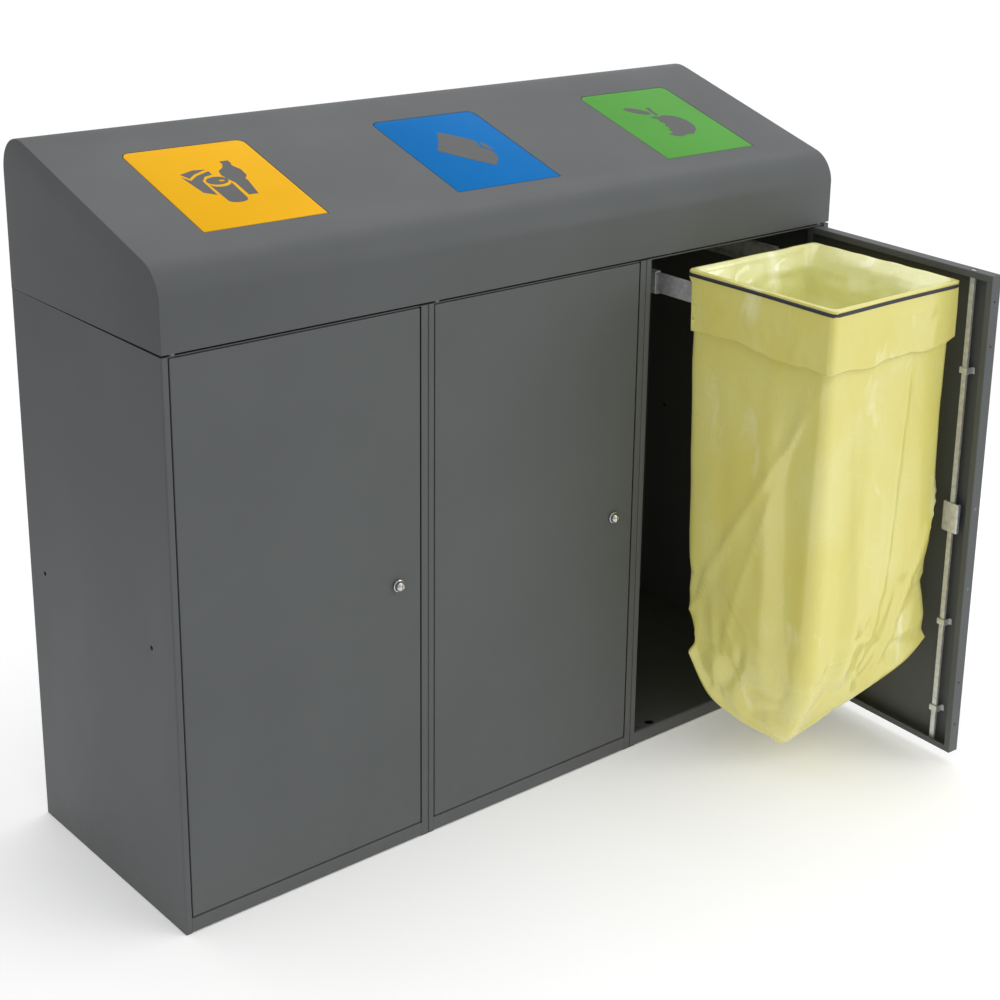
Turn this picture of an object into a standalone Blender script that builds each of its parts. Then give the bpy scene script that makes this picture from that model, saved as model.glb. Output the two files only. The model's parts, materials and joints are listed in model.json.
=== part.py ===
"""Recycling station: three sheet-steel cabinets in a row under one sloping hood.

Every cabinet has a push flap above, a lockable door with two bolt rods in front, and inside it a
bag drawer on telescopic slides that hang on a bracket at the back wall.  The right-hand cabinet
stands open with its drawer pulled out.

Units are metres.  X runs to the right along the front, Y to the back, Z up.  The origin is on the
floor, under the middle of the front rail's foot.
"""
import math

import bmesh
import bpy
from mathutils import Matrix, Vector

# Driving dimensions
CABINETS = 3
PITCH = 0.400                 # one cabinet's width
DEPTH = 0.400
FRONT = -0.012                # front faces of the doors; the foot's middle is the origin
BACK = FRONT + DEPTH
CABINET_TOP = 0.800
RIDGE = 1.0085                # top of the hood
SLOPE = math.radians(17)      # of the hood's lid
HOOD_BEND = 0.048             # outer radius of both hood bends
SHEET = 0.0015                # steel sheet
CASE_BEND = 0.0012            # mid-line radius of a cabinet's folded corners
GAP = 0.0003                  # between pieces that touch
DOOR_GAP = 0.002              # visible joint round a door
RAIL_HEIGHT = 0.022           # bottom rail, and the floor's top
DOOR_THICK = 0.020
DOOR_TOP = 0.7975
LEFT_FLANGE = 0.009           # visible width of a cabinet's front flanges
RIGHT_FLANGE = 0.012
FLAP_WIDTH = 0.184
FLAP_LENGTH = 0.2165
FLAP_GAP = 0.0012
FLAP_LOW_Y = FRONT + 0.074    # front edge of a flap, measured level
FLAP_CORNER = 0.012
RING_HALF_X = 0.137           # bag frame, outside
RING_HALF_Y = 0.1408
RING_LOW = 0.766
RING_HIGH = 0.779
RING_HOME_Y = FRONT + 0.186   # centre of the bag frame when pushed in
BAND_LOW = 0.7730             # lower edge of the elastic band round the cuff
TRAVEL = 0.354                # of a drawer
OPEN_DOOR = math.radians(87)  # how far the right-hand door stands open
LOCK_X = 0.147                # lock and bolt rods, from the cabinet's middle
LOCK_Z = 0.408

HALF = PITCH / 2 - 0.00015
FLANGE_IN_LEFT = -PITCH / 2 + LEFT_FLANGE
FLANGE_IN_RIGHT = PITCH / 2 - RIGHT_FLANGE
DOOR_LEFT = FLANGE_IN_LEFT + DOOR_GAP
DOOR_RIGHT = FLANGE_IN_RIGHT - DOOR_GAP
DOOR_BOTTOM = RAIL_HEIGHT + DOOR_GAP
HINGE_INSET = 0.0065          # hinge axis from the door's side edge
HINGE_Y = FRONT + 0.007
ROD_Y = FRONT + 0.012
AXLE_DEPTH = 0.008            # flap rod's axis, under the lid's outer face
AXLE_INSET = 0.007            # and from the flap's upper edge

PARTS = "recycling_station"
CUTTERS = "cutters"
AXES = {
    "X": Matrix(((0, 0, 1, 0), (1, 0, 0, 0), (0, 1, 0, 0), (0, 0, 0, 1))),
    "Y": Matrix(((1, 0, 0, 0), (0, 0, -1, 0), (0, 1, 0, 0), (0, 0, 0, 1))),
    "Z": Matrix.Identity(4),
}


def start_scene():
    """Empty the scene and make the two collections."""
    for old in list(bpy.data.objects):
        bpy.data.objects.remove(old, do_unlink=True)
    for name in (PARTS, CUTTERS):
        collection = bpy.data.collections.new(name)
        bpy.context.scene.collection.children.link(collection)


def finish(name, color, roughness, metallic):
    """A plain Principled material."""
    made = bpy.data.materials.new(name)
    made.use_nodes = True
    shader = made.node_tree.nodes["Principled BSDF"]
    shader.inputs["Base Color"].default_value = (*color, 1.0)
    shader.inputs["Roughness"].default_value = roughness
    shader.inputs["Metallic"].default_value = metallic
    return made


def place(name, mesh, material=None):
    """Put a mesh in the parts, or, without a material, among the cutters."""
    obj = bpy.data.objects.new(name, mesh)
    bpy.data.collections[PARTS if material else CUTTERS].objects.link(obj)
    if material:
        mesh.materials.append(material)
    else:
        obj.hide_render = True
        obj.display_type = "WIRE"
    return obj


def mesh_of(bm, name):
    mesh = bpy.data.meshes.new(name)
    bm.to_mesh(mesh)
    bm.free()
    return mesh


def box(name, low, high, material=None):
    """A box between two corners."""
    low, high = Vector(low), Vector(high)
    size = high - low
    bm = bmesh.new()
    matrix = Matrix.Translation((low + high) / 2) @ Matrix.Diagonal((*size, 1.0))
    bmesh.ops.create_cube(bm, size=1.0, matrix=matrix)
    return place(name, mesh_of(bm, name), material)


def rod(name, centre, radius, length, axis, sides, material=None):
    """A cylinder about its centre."""
    bm = bmesh.new()
    matrix = Matrix.Translation(centre) @ AXES[axis]
    bmesh.ops.create_cone(bm, cap_ends=True, segments=sides, radius1=radius, radius2=radius,
                          depth=length, matrix=matrix)
    bmesh.ops.recalc_face_normals(bm, faces=bm.faces)
    return place(name, mesh_of(bm, name), material)


def evaluated_mesh(obj, name):
    """The closed mesh of a curve or a modified object, its seams welded; the object is removed."""
    graph = bpy.context.evaluated_depsgraph_get()
    mesh = bpy.data.meshes.new_from_object(obj.evaluated_get(graph))
    mesh.transform(obj.matrix_world)
    bm = bmesh.new()
    bm.from_mesh(mesh)
    bmesh.ops.remove_doubles(bm, verts=bm.verts, dist=0.00002)
    bmesh.ops.recalc_face_normals(bm, faces=bm.faces)
    bm.to_mesh(mesh)
    bm.free()
    mesh.name = name
    bpy.data.objects.remove(obj, do_unlink=True)
    return mesh


def extruded(name, outline, low, high, axis, material=None):
    """A flat outline extruded along an axis: (x, y) for Z, (y, z) for X, (x, z) for Y."""
    curve = bpy.data.curves.new(name, "CURVE")
    curve.dimensions = "2D"
    curve.fill_mode = "BOTH"
    curve.extrude = (high - low) / 2
    spline = curve.splines.new("POLY")
    spline.points.add(len(outline) - 1)
    for point, (a, b) in zip(spline.points, outline):
        point.co = (a, b, 0.0, 1.0)
    spline.use_cyclic_u = True
    obj = bpy.data.objects.new(name, curve)
    bpy.context.scene.collection.objects.link(obj)
    middle = (low + high) / 2
    along = -middle if axis == "Y" else middle
    obj.matrix_world = AXES[axis] @ Matrix.Translation((0, 0, along))
    bpy.context.view_layer.update()
    return place(name, evaluated_mesh(obj, name), material)


def turned(name, profile, centre, axis, steps, material=None):
    """A turned shape: profile is (radius, height) from the top down its outer side."""
    bm = bmesh.new()
    verts = [bm.verts.new((radius, 0.0, height)) for radius, height in profile]
    for first, second in zip(verts, verts[1:]):
        bm.edges.new((first, second))
    obj = bpy.data.objects.new(name, mesh_of(bm, name))
    bpy.context.scene.collection.objects.link(obj)
    screw = obj.modifiers.new("turn", "SCREW")
    screw.steps = steps
    screw.render_steps = steps
    screw.use_merge_vertices = True
    screw.merge_threshold = 0.00005
    obj.matrix_world = Matrix.Translation(centre) @ AXES[axis]
    bpy.context.view_layer.update()
    return place(name, evaluated_mesh(obj, name), material)


def rounded(path, radius, steps):
    """Points and left-hand normals along a path whose inner corners are arcs."""
    path = [Vector(point) for point in path]
    line = []
    for index, point in enumerate(path):
        if index in (0, len(path) - 1):
            other = path[1] if index == 0 else path[-2]
            ahead = (other - point if index == 0 else point - other).normalized()
            line.append((point, Vector((-ahead.y, ahead.x))))
            continue
        back = (path[index - 1] - point).normalized()
        ahead = (path[index + 1] - point).normalized()
        half = back.angle(ahead) / 2
        centre = point + (back + ahead).normalized() * radius / math.sin(half)
        spoke = point + back * radius / math.tan(half) - centre
        turn = 1.0 if back.y * ahead.x - back.x * ahead.y > 0 else -1.0
        for step in range(steps + 1):
            angle = turn * (math.pi - 2 * half) * step / steps
            arm = Matrix.Rotation(angle, 2) @ spoke
            line.append((centre + arm, arm.normalized() * -turn))
    return line


def folded(path, radius=0.0025, steps=2, thick=SHEET):
    """Closed outline of a sheet folded along a mid-line path."""
    line = rounded(path, radius, steps)
    left = [point + normal * thick / 2 for point, normal in line]
    right = [point - normal * thick / 2 for point, normal in line]
    return left + right[::-1]


def combine(target, others, operation):
    """Boolean the others with the target, in order."""
    for other in others:
        change = target.modifiers.new(other.name, "BOOLEAN")
        change.operation = operation
        change.solver = "EXACT"
        change.object = other


def cut(target, *cutters):
    combine(target, cutters, "DIFFERENCE")


def join(target, *others):
    combine(target, others, "UNION")


def smooth(obj, degrees=30):
    obj.data.shade_smooth()
    obj.data.set_sharp_from_angle(angle=math.radians(degrees))


def pivot(name, location):
    """An empty on a joint's axis."""
    empty = bpy.data.objects.new(name, None)
    empty.location = location
    empty.empty_display_size = 0.05
    bpy.data.collections[PARTS].objects.link(empty)
    bpy.context.view_layer.update()
    return empty


def hang(axis, *objects):
    """Parent objects, with their cutters, to an empty; their origins move onto it."""
    for obj in objects:
        tools = [change.object for change in obj.modifiers if change.type == "BOOLEAN"]
        for piece in [obj, *tools]:
            piece.data.transform(Matrix.Translation(-axis.matrix_world.translation))
            piece.parent = axis


def make_case(name, x, steel):
    """One cabinet's wrap-round wall: both sides, the back and the front flanges."""
    inset = SHEET / 2
    path = [(x + FLANGE_IN_LEFT, FRONT + inset), (x - HALF + inset, FRONT + inset),
            (x - HALF + inset, BACK - inset), (x + HALF - inset, BACK - inset),
            (x + HALF - inset, FRONT + inset), (x + FLANGE_IN_RIGHT, FRONT + inset)]
    case = extruded(name, folded(path, CASE_BEND), 0.0, CABINET_TOP, "Z", steel)
    holes = [rod(f"{name}_hole_{index}", (x, y, 0.397), 0.0035, PITCH + 0.02, "X", 12)
             for index, y in enumerate((FRONT + 0.058, FRONT + 0.355))]
    cut(case, *holes)
    return case


def make_floor(name, x, hinge_x, rod_x, steel):
    """Floor tray: bottom rail in front, with the lower hinge stud and the bolt hole."""
    inset = SHEET / 2
    top = RAIL_HEIGHT - inset
    path = [(FRONT + 0.020, inset), (FRONT + inset, inset), (FRONT + inset, top),
            (BACK - SHEET - GAP - inset, top), (BACK - SHEET - GAP - inset, 0.0)]
    side = HALF - SHEET - GAP
    floor = extruded(name, folded(path), x - side, x + side, "X", steel)
    notch = {"left": (-side - 0.01, FLANGE_IN_LEFT + GAP), "right": (FLANGE_IN_RIGHT - GAP, side + 0.01)}
    notches = [box(f"{name}_notch_{key}", (x + low, FRONT - 0.01, -0.01),
                   (x + high, FRONT + SHEET + GAP, 0.04)) for key, (low, high) in notch.items()]
    stud = rod(f"{name}_stud", (hinge_x, HINGE_Y, RAIL_HEIGHT + 0.003), 0.0039, 0.010, "Z", 16)
    bolt_hole = rod(f"{name}_bolt_hole", (rod_x, ROD_Y, RAIL_HEIGHT), 0.0075, 0.01, "Z", 16)
    drain = rod(f"{name}_drain", (rod_x - 0.026, ROD_Y, RAIL_HEIGHT), 0.003, 0.01, "Z", 12)
    join(floor, stud)
    cut(floor, *notches, bolt_hole, drain)
    return floor


def make_top_rail(name, x, hinge_x, rod_x, steel):
    """Angle across the top of the doorway, with holes for the hinge pin and the bolt rod."""
    level = CABINET_TOP - SHEET / 2
    path = [(FRONT + 0.0023, level), (FRONT + 0.034, level), (FRONT + 0.034, 0.787)]
    side = HALF - SHEET - GAP
    rail = extruded(name, folded(path), x - side, x + side, "X", steel)
    holes = [rod(f"{name}_{key}", (hole_x, y, level), radius, 0.01, "Z", 16)
             for key, hole_x, y, radius in (("pin_hole", hinge_x, HINGE_Y, 0.0042),
                                            ("bolt_hole", rod_x, ROD_Y, 0.0075))]
    cut(rail, *holes)
    return rail


def make_hinge_pin(name, hinge_x, steel):
    """Upper hinge pin: a headed pin dropped through the top rail into the door."""
    profile = [(0.0, 0.0025), (0.0050, 0.0025), (0.0050, 0.0003), (0.0038, 0.0003),
               (0.0038, -0.0120), (0.0028, -0.0130), (0.0, -0.0130)]
    pin = turned(name, profile, (hinge_x, HINGE_Y, CABINET_TOP), "Z", 16, steel)
    smooth(pin)
    return pin


def make_door(name, x, hinge_x, rod_x, steel):
    """Door: a tray with returned edges, open at the back."""
    left, right = x + DOOR_LEFT, x + DOOR_RIGHT
    rear = FRONT + DOOR_THICK
    lip = 0.010
    door = box(name, (left, FRONT, DOOR_BOTTOM), (right, rear, DOOR_TOP), steel)
    hollow = box(f"{name}_hollow", (left + SHEET, FRONT + SHEET, DOOR_BOTTOM + SHEET),
                 (right - SHEET, rear - SHEET, DOOR_TOP - SHEET))
    mouth = box(f"{name}_mouth", (left + lip, rear - 2 * SHEET, DOOR_BOTTOM + lip),
                (right - lip, rear + 0.01, DOOR_TOP - lip))
    edge = door.modifiers.new("edge", "BEVEL")
    edge.width = 0.0012
    edge.segments = 2
    middle = (DOOR_TOP + DOOR_BOTTOM) / 2
    tall = DOOR_TOP - DOOR_BOTTOM + 0.02
    pin_hole = rod(f"{name}_pin_hole", (hinge_x, HINGE_Y, middle), 0.0042, tall, "Z", 16)
    rod_hole = rod(f"{name}_rod_hole", (rod_x, ROD_Y, middle), 0.0056, tall, "Z", 12)
    lock_hole = rod(f"{name}_lock_hole", (rod_x, FRONT, LOCK_Z), 0.0063, 0.01, "Y", 20)
    edge_x = right if rod_x > x else left
    screw_holes = [rod(f"{name}_hole_{index}", (edge_x, FRONT + 0.011, z), 0.0018, 0.01, "X", 8)
                   for index, z in enumerate((0.072, 0.144, 0.690, 0.758))]
    cut(door, hollow, mouth, pin_hole, rod_hole, lock_hole, *screw_holes)
    return door


def make_lock(name, rod_x, chrome):
    """Knob, barrel and cam disc on one spindle; the knob's face is at the front."""
    profile = [(0.0, 0.0100), (0.0036, 0.0094), (0.0064, 0.0074), (0.0080, 0.0042), (0.0080, 0.0003),
               (0.0060, 0.0003), (0.0060, -0.0030), (0.0110, -0.0030), (0.0110, -0.0055),
               (0.0, -0.0055)]
    lock = turned(name, profile, (rod_x, FRONT, LOCK_Z), "Y", 20, chrome)
    smooth(lock)
    return lock


def make_bolt_rods(top_name, bottom_name, rod_x, steel):
    """The two flat bolt rods inside a door, drawn back."""
    half_x, half_y = 0.0042, 0.0020
    upper = box(top_name, (rod_x - half_x, ROD_Y - half_y, LOCK_Z + 0.008),
                (rod_x + half_x, ROD_Y + half_y, DOOR_TOP - 0.0003), steel)
    lower = box(bottom_name, (rod_x - half_x, ROD_Y - half_y, DOOR_BOTTOM + 0.0003),
                (rod_x + half_x, ROD_Y + half_y, LOCK_Z - 0.008), steel)
    return upper, lower


def slide_section(web_x, low, high, mouth_x):
    """A slide rail's C section, seen along Y."""
    return folded([(mouth_x, low), (web_x, low), (web_x, high), (mouth_x, high)], 0.0018, 2, 0.0012)


def make_slide(x, side, label, zinc):
    """Outer and middle rail of one telescopic slide; side is -1 or 1."""
    front = RING_HOME_Y - RING_HALF_Y + 0.002
    outer_path = slide_section(x + side * 0.1354, 0.7276, 0.7614, x + side * 0.1250)
    outer = extruded(f"slide_outer_{label}", outer_path, front, BACK - 0.014, "Y", zinc)
    middle_path = slide_section(x + side * 0.1332, 0.7301, 0.7589, x + side * 0.1250)
    middle = extruded(f"slide_middle_{label}", middle_path, front, BACK - 0.016, "Y", zinc)
    return outer, middle


def make_bracket(name, x, zinc):
    """Rear bracket: a channel on the back wall with a forward tab for each slide."""
    rear = BACK - SHEET - GAP
    tab = 0.1370
    ahead = BACK - 0.026
    path = [(x - tab, ahead), (x - tab, rear - SHEET / 2), (x + tab, rear - SHEET / 2), (x + tab, ahead)]
    return extruded(name, folded(path), 0.722, 0.763, "Z", zinc)


def make_bag_frame(name, x, steel):
    """Drawer: the bag's ring with side legs, inner slide rails and a rear cross plate."""
    y = RING_HOME_Y
    thick = 0.002
    ring = box(name, (x - RING_HALF_X, y - RING_HALF_Y, RING_LOW),
               (x + RING_HALF_X, y + RING_HALF_Y, RING_HIGH), steel)
    clear = box(f"{name}_clear", (x - RING_HALF_X + thick, y - RING_HALF_Y + thick, RING_LOW - 0.01),
                (x + RING_HALF_X - thick, y + RING_HALF_Y - thick, RING_HIGH + 0.01))
    cut(ring, clear)
    added = []
    for side, label in ((-1, "left"), (1, "right")):
        near, far = sorted((x + side * 0.1226, x + side * (RING_HALF_X - 0.001)))
        added.append(box(f"{name}_leg_{label}", (near, y - RING_HALF_Y + 0.001, RING_LOW + 0.0004),
                         (far, y + RING_HALF_Y - 0.001, RING_LOW + 0.0024)))
        near, far = sorted((x + side * 0.1215, x + side * 0.1230))
        added.append(box(f"{name}_plate_{label}", (near, y - RING_HALF_Y + 0.0015, 0.7325),
                         (far, y + RING_HALF_Y - 0.0015, RING_LOW + 0.0014)))
        path = slide_section(x + side * 0.1310, 0.7340, 0.7559, x + side * 0.1222)
        added.append(extruded(f"{name}_rail_{label}", path, y - RING_HALF_Y + 0.0025,
                              y + RING_HALF_Y - 0.0025, "Y"))
    rear = y + RING_HALF_Y
    added.append(box(f"{name}_rear", (x - 0.118, rear - 0.001, RING_LOW + 0.0008),
                     (x + 0.118, rear + 0.018, RING_LOW + 0.0030)))
    join(ring, *added)
    return ring


def bag_section(half_x, half_y, radius):
    """One level of the bag: a rectangle with round corners and a point halfway along each side."""
    points = []
    for quarter, (side_x, side_y) in enumerate(((1, 1), (-1, 1), (-1, -1), (1, -1))):
        for step in range(4):
            angle = math.pi / 2 * (quarter + step / 3)
            points.append((side_x * (half_x - radius) + radius * math.cos(angle),
                           side_y * (half_y - radius) + radius * math.sin(angle)))
        points.append((0.0, side_y * half_y) if quarter % 2 == 0 else (side_x * half_x, 0.0))
    return points


def make_bag(name, x, film):
    """Bag: a thin sack through the frame, its cuff turned down outside it.

    At the back the cuff is rolled up, because the slides run out there.
    """
    wall = 0.001
    body = ((0.034, 0.050, 0.052, 0.03), (0.060, 0.095, 0.097, 0.04), (0.120, 0.120, 0.122, 0.04),
            (0.220, 0.132, 0.134, 0.03), (0.695, 0.134, 0.136, 0.02), (0.722, 0.1195, 0.136, 0.02),
            (0.768, 0.1195, 0.136, 0.02), (0.7803, 0.1332, 0.1370, 0.01))
    cuff_x, cuff_y = RING_HALF_X + 0.0012, RING_HALF_Y + 0.0012
    cuff_low, cuff_rolled, corner = 0.690, 0.7705, 0.003
    inside = [(z, a - wall, b - wall, radius) for z, a, b, radius in body]
    inside[0] = (body[0][0] + wall, *inside[0][1:])
    inside[-1] = (0.7808, *inside[-1][1:])
    rim = [(0.7816, 0.1340, 0.1380, 0.008), (0.7816, cuff_x + wall / 2, cuff_y + wall / 2, corner)]
    outer = [(0.7808, cuff_x + wall, cuff_y + wall, corner), (cuff_low, cuff_x + wall, cuff_y + wall, corner)]
    inner = [(cuff_low, cuff_x, cuff_y, corner), (0.7803, cuff_x, cuff_y, corner)]
    bm = bmesh.new()
    rings = []
    for z, half_x, half_y, radius in inside + rim + outer + inner + list(body[::-1]):
        ring = []
        for a, b in bag_section(half_x, half_y, radius):
            rolled = z == cuff_low and b > half_y - 2 * radius
            ring.append(bm.verts.new((x + a, RING_HOME_Y + b, cuff_rolled if rolled else z)))
        rings.append(ring)
    for first, second in zip(rings, rings[1:]):
        for index, vert in enumerate(first):
            follow = (index + 1) % len(first)
            bm.faces.new((vert, second[index], second[follow], first[follow]))
    bm.faces.new(rings[0])
    bm.faces.new(rings[-1][::-1])
    return place(name, mesh_of(bm, name), film)


def make_band(name, x, rubber):
    """Elastic band round the cuff."""
    y = RING_HOME_Y
    inner_x, inner_y = RING_HALF_X + 0.0022, RING_HALF_Y + 0.0022
    wide = 0.0018
    band = box(name, (x - inner_x - wide, y - inner_y - wide, BAND_LOW),
               (x + inner_x + wide, y + inner_y + wide, BAND_LOW + 0.0055), rubber)
    loop = box(f"{name}_loop", (x - inner_x, y - inner_y, 0.76), (x + inner_x, y + inner_y, 0.78))
    cut(band, loop)
    return band


def lid_point(level_y, below=0.0):
    """A point of the hood's lid at a level distance y, or under its outer face."""
    ridge_centre = Vector((BACK - HOOD_BEND, RIDGE - HOOD_BEND))
    normal = Vector((-math.sin(SLOPE), math.cos(SLOPE)))
    touch = ridge_centre + normal * HOOD_BEND
    height = touch.y - (touch.x - level_y) * math.tan(SLOPE)
    return Vector((level_y, height)) - normal * below


def make_hood(name, steel):
    """Hood: one bent sheet with closed ends, open below, with three flap openings and rod tabs."""
    half = CABINETS * PITCH / 2 - 0.00015
    front_low = CABINET_TOP + 0.003
    back_low = CABINET_TOP + GAP
    knee = lid_point(FRONT)
    apex = lid_point(BACK)
    path = [(FRONT, front_low), knee, apex, (BACK, back_low)]
    line = rounded(path, HOOD_BEND, 8)
    outer = [point for point, normal in line]
    inner = [point - normal * SHEET for point, normal in line]
    inner[0].y = inner[-1].y = CABINET_TOP - 0.02
    hood = extruded(name, outer, -half, half, "X", steel)
    hollow = extruded(f"{name}_hollow", inner, -half + SHEET, half - SHEET, "X")
    cut(hood, hollow)
    return hood


def flap_frame(x):
    """Matrix of a flap's own frame: origin at its lower edge, X across, Y up the lid, Z outward."""
    low = lid_point(FLAP_LOW_Y)
    return Matrix.Translation((x, low.x, low.y)) @ Matrix.Rotation(SLOPE, 4, "X")


def flap_outline(grow):
    """Flap outline in its own frame: square lower corners, rounded upper ones."""
    half = FLAP_WIDTH / 2 + grow
    radius = FLAP_CORNER + grow
    top = FLAP_LENGTH + grow
    points = [(-half, -grow), (half, -grow)]
    for centre_x, start in ((half - radius, 0.0), (radius - half, math.pi / 2)):
        for step in range(5):
            angle = start + math.pi / 2 * step / 4
            points.append((centre_x + radius * math.cos(angle), top - radius + radius * math.sin(angle)))
    return points


def tilt(obj, matrix):
    """Bake a placing matrix into a piece's mesh."""
    obj.data.transform(matrix)
    return obj


def make_flap_station(hood, index, x, paint, zinc, spring_steel):
    """Opening in the lid with its flap, the rod it swings on and the return spring."""
    frame = flap_frame(x)
    axle_y = FLAP_LENGTH - AXLE_INSET
    opening = extruded(f"hood_opening_{index}", flap_outline(FLAP_GAP), -0.02, 0.01, "Z")
    cut(hood, tilt(opening, frame))
    for side, label in ((-1, "left"), (1, "right")):
        near, far = sorted((side * 0.0955, side * 0.0975))
        tab = box(f"hood_tab_{label}_{index}", (near, axle_y - 0.008, -0.0145),
                  (far, axle_y + 0.008, -0.0008))
        join(hood, tilt(tab, frame))
        hole_at = (side * 0.0965, axle_y, -AXLE_DEPTH)
        hole = rod(f"hood_tab_hole_{label}_{index}", hole_at, 0.0031, 0.006, "X", 16)
        cut(hood, tilt(hole, frame))
    flap = extruded(f"flap_{index}", flap_outline(0.0), -0.0020, 0.0, "Z", paint)
    pieces = []
    for side, label in ((-1, "left"), (1, "right")):
        centre = side * 0.062
        sleeve = rod(f"flap_sleeve_{label}_{index}", (centre, axle_y, -AXLE_DEPTH), 0.0048, 0.040, "X", 16)
        near, far = sorted((side * 0.044, side * 0.080))
        web = box(f"flap_web_{label}_{index}", (near, axle_y - 0.0015, -0.0055),
                  (far, axle_y + 0.0015, -0.0010))
        lip_near, lip_far = sorted((side * (FLAP_WIDTH / 2 - 0.0035), side * (FLAP_WIDTH / 2 - 0.0020)))
        lip = box(f"flap_lip_{label}_{index}", (lip_near, 0.006, -0.012), (lip_far, axle_y - 0.012, -0.001))
        pieces += [tilt(sleeve, frame), tilt(web, frame), tilt(lip, frame)]
    join(tilt(flap, frame), *pieces)
    bore = rod(f"flap_bore_{index}", (0, axle_y, -AXLE_DEPTH), 0.0031, 0.19, "X", 16)
    cut(flap, tilt(bore, frame))
    axle = rod(f"flap_rod_{index}", (0, axle_y, -AXLE_DEPTH), 0.0030, 0.200, "X", 16, zinc)
    tilt(axle, frame)
    smooth(axle)
    spring = make_spring(f"flap_spring_{index}", axle_y, spring_steel)
    tilt(spring, frame)
    axis = pivot(f"flap_axis_{index}", frame @ Vector((0, axle_y, -AXLE_DEPTH)))
    hang(axis, flap)
    return flap


def make_spring(name, axle_y, steel):
    """Torsion spring round the flap rod, with two short tails."""
    coil_radius, wire, turns, per_turn = 0.0044, 0.0012, 4, 8
    count = turns * per_turn
    points = [(-0.0075, axle_y + 0.016, -AXLE_DEPTH + coil_radius)]
    for step in range(count + 1):
        angle = math.pi / 2 - 2 * math.pi * step / per_turn
        points.append((-0.0075 + 0.015 * step / count, axle_y + coil_radius * math.cos(angle),
                       -AXLE_DEPTH + coil_radius * math.sin(angle)))
    points.append((0.0075, axle_y + 0.014, -AXLE_DEPTH + coil_radius))
    curve = bpy.data.curves.new(name, "CURVE")
    curve.dimensions = "3D"
    curve.bevel_depth = wire / 2
    curve.bevel_resolution = 2
    curve.use_fill_caps = True
    spline = curve.splines.new("POLY")
    spline.points.add(len(points) - 1)
    for point, place_at in zip(spline.points, points):
        point.co = (*place_at, 1.0)
    obj = bpy.data.objects.new(name, curve)
    bpy.context.scene.collection.objects.link(obj)
    bpy.context.view_layer.update()
    spring = place(name, evaluated_mesh(obj, name), steel)
    smooth(spring, 60)
    return spring


def main():
    start_scene()
    steel = finish("grey_painted_steel", (0.115, 0.125, 0.125), 0.45, 0.0)
    zinc = finish("zinc_plated_steel", (0.62, 0.64, 0.66), 0.30, 1.0)
    chrome = finish("chrome_plated_knob", (0.80, 0.80, 0.80), 0.12, 1.0)
    spring_steel = finish("spring_steel", (0.35, 0.35, 0.36), 0.35, 1.0)
    film = finish("yellow_film", (0.62, 0.58, 0.16), 0.35, 0.0)
    rubber = finish("dark_elastic", (0.045, 0.047, 0.07), 0.7, 0.0)
    lid_paints = (finish("yellow_paint", (0.90, 0.48, 0.03), 0.4, 0.0),
                  finish("blue_paint", (0.0, 0.18, 0.51), 0.4, 0.0),
                  finish("green_paint", (0.14, 0.40, 0.10), 0.4, 0.0))
    hood = make_hood("hood", steel)
    smooth(hood, 20)
    for number in range(1, CABINETS + 1):
        x = (number - 2) * PITCH
        is_open = number == CABINETS
        hand = -1 if is_open else 1
        rod_x = x + hand * LOCK_X
        hinge_x = x + (DOOR_RIGHT - HINGE_INSET if is_open else DOOR_LEFT + HINGE_INSET)
        make_case(f"case_{number}", x, steel)
        make_floor(f"floor_tray_{number}", x, hinge_x, rod_x, steel)
        make_top_rail(f"top_rail_{number}", x, hinge_x, rod_x, steel)
        make_hinge_pin(f"hinge_pin_{number}", hinge_x, zinc)
        make_bracket(f"slide_bracket_{number}", x, zinc)
        make_flap_station(hood, number, x, lid_paints[number - 1], zinc, spring_steel)

        door = make_door(f"door_{number}", x, hinge_x, rod_x, steel)
        lock = make_lock(f"lock_{number}", rod_x, chrome)
        upper, lower = make_bolt_rods(f"rod_top_{number}", f"rod_bottom_{number}", rod_x, zinc)
        hinge = pivot(f"door_hinge_{number}", (hinge_x, HINGE_Y, 0.0))
        hang(hinge, door, upper, lower)
        turn = pivot(f"lock_axis_{number}", (rod_x, FRONT, LOCK_Z))
        hang(turn, lock)
        turn.parent = hinge
        turn.matrix_parent_inverse = hinge.matrix_world.inverted()
        hinge.rotation_euler.z = OPEN_DOOR if is_open else 0.0

        drawer = pivot(f"drawer_origin_{number}", (x, RING_HOME_Y, RING_LOW))
        runner = pivot(f"runner_origin_{number}", (x, RING_HOME_Y, RING_LOW))
        for side, label in ((-1, "left"), (1, "right")):
            outer, middle = make_slide(x, side, f"{label}_{number}", zinc)
            hang(runner, middle)
        frame = make_bag_frame(f"bag_frame_{number}", x, steel)
        bag = make_bag(f"bag_{number}", x, film)
        band = make_band(f"band_{number}", x, rubber)
        hang(drawer, frame, bag, band)
        if is_open:
            drawer.location.y -= TRAVEL
            runner.location.y -= TRAVEL / 2


main()
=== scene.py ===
"""Looks for the recycling station: painted sheet steel, coloured push flaps and film bags.

Each sub-assembly is a class that models its pieces and dresses them.  Lengths are in metres, X to
the right along the front, Y to the back, Z up.
"""
from __future__ import annotations

import json
import logging
import math
from collections.abc import Callable
from dataclasses import dataclass, field
from enum import Enum

import bpy
from mathutils import Matrix, Vector, noise

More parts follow.
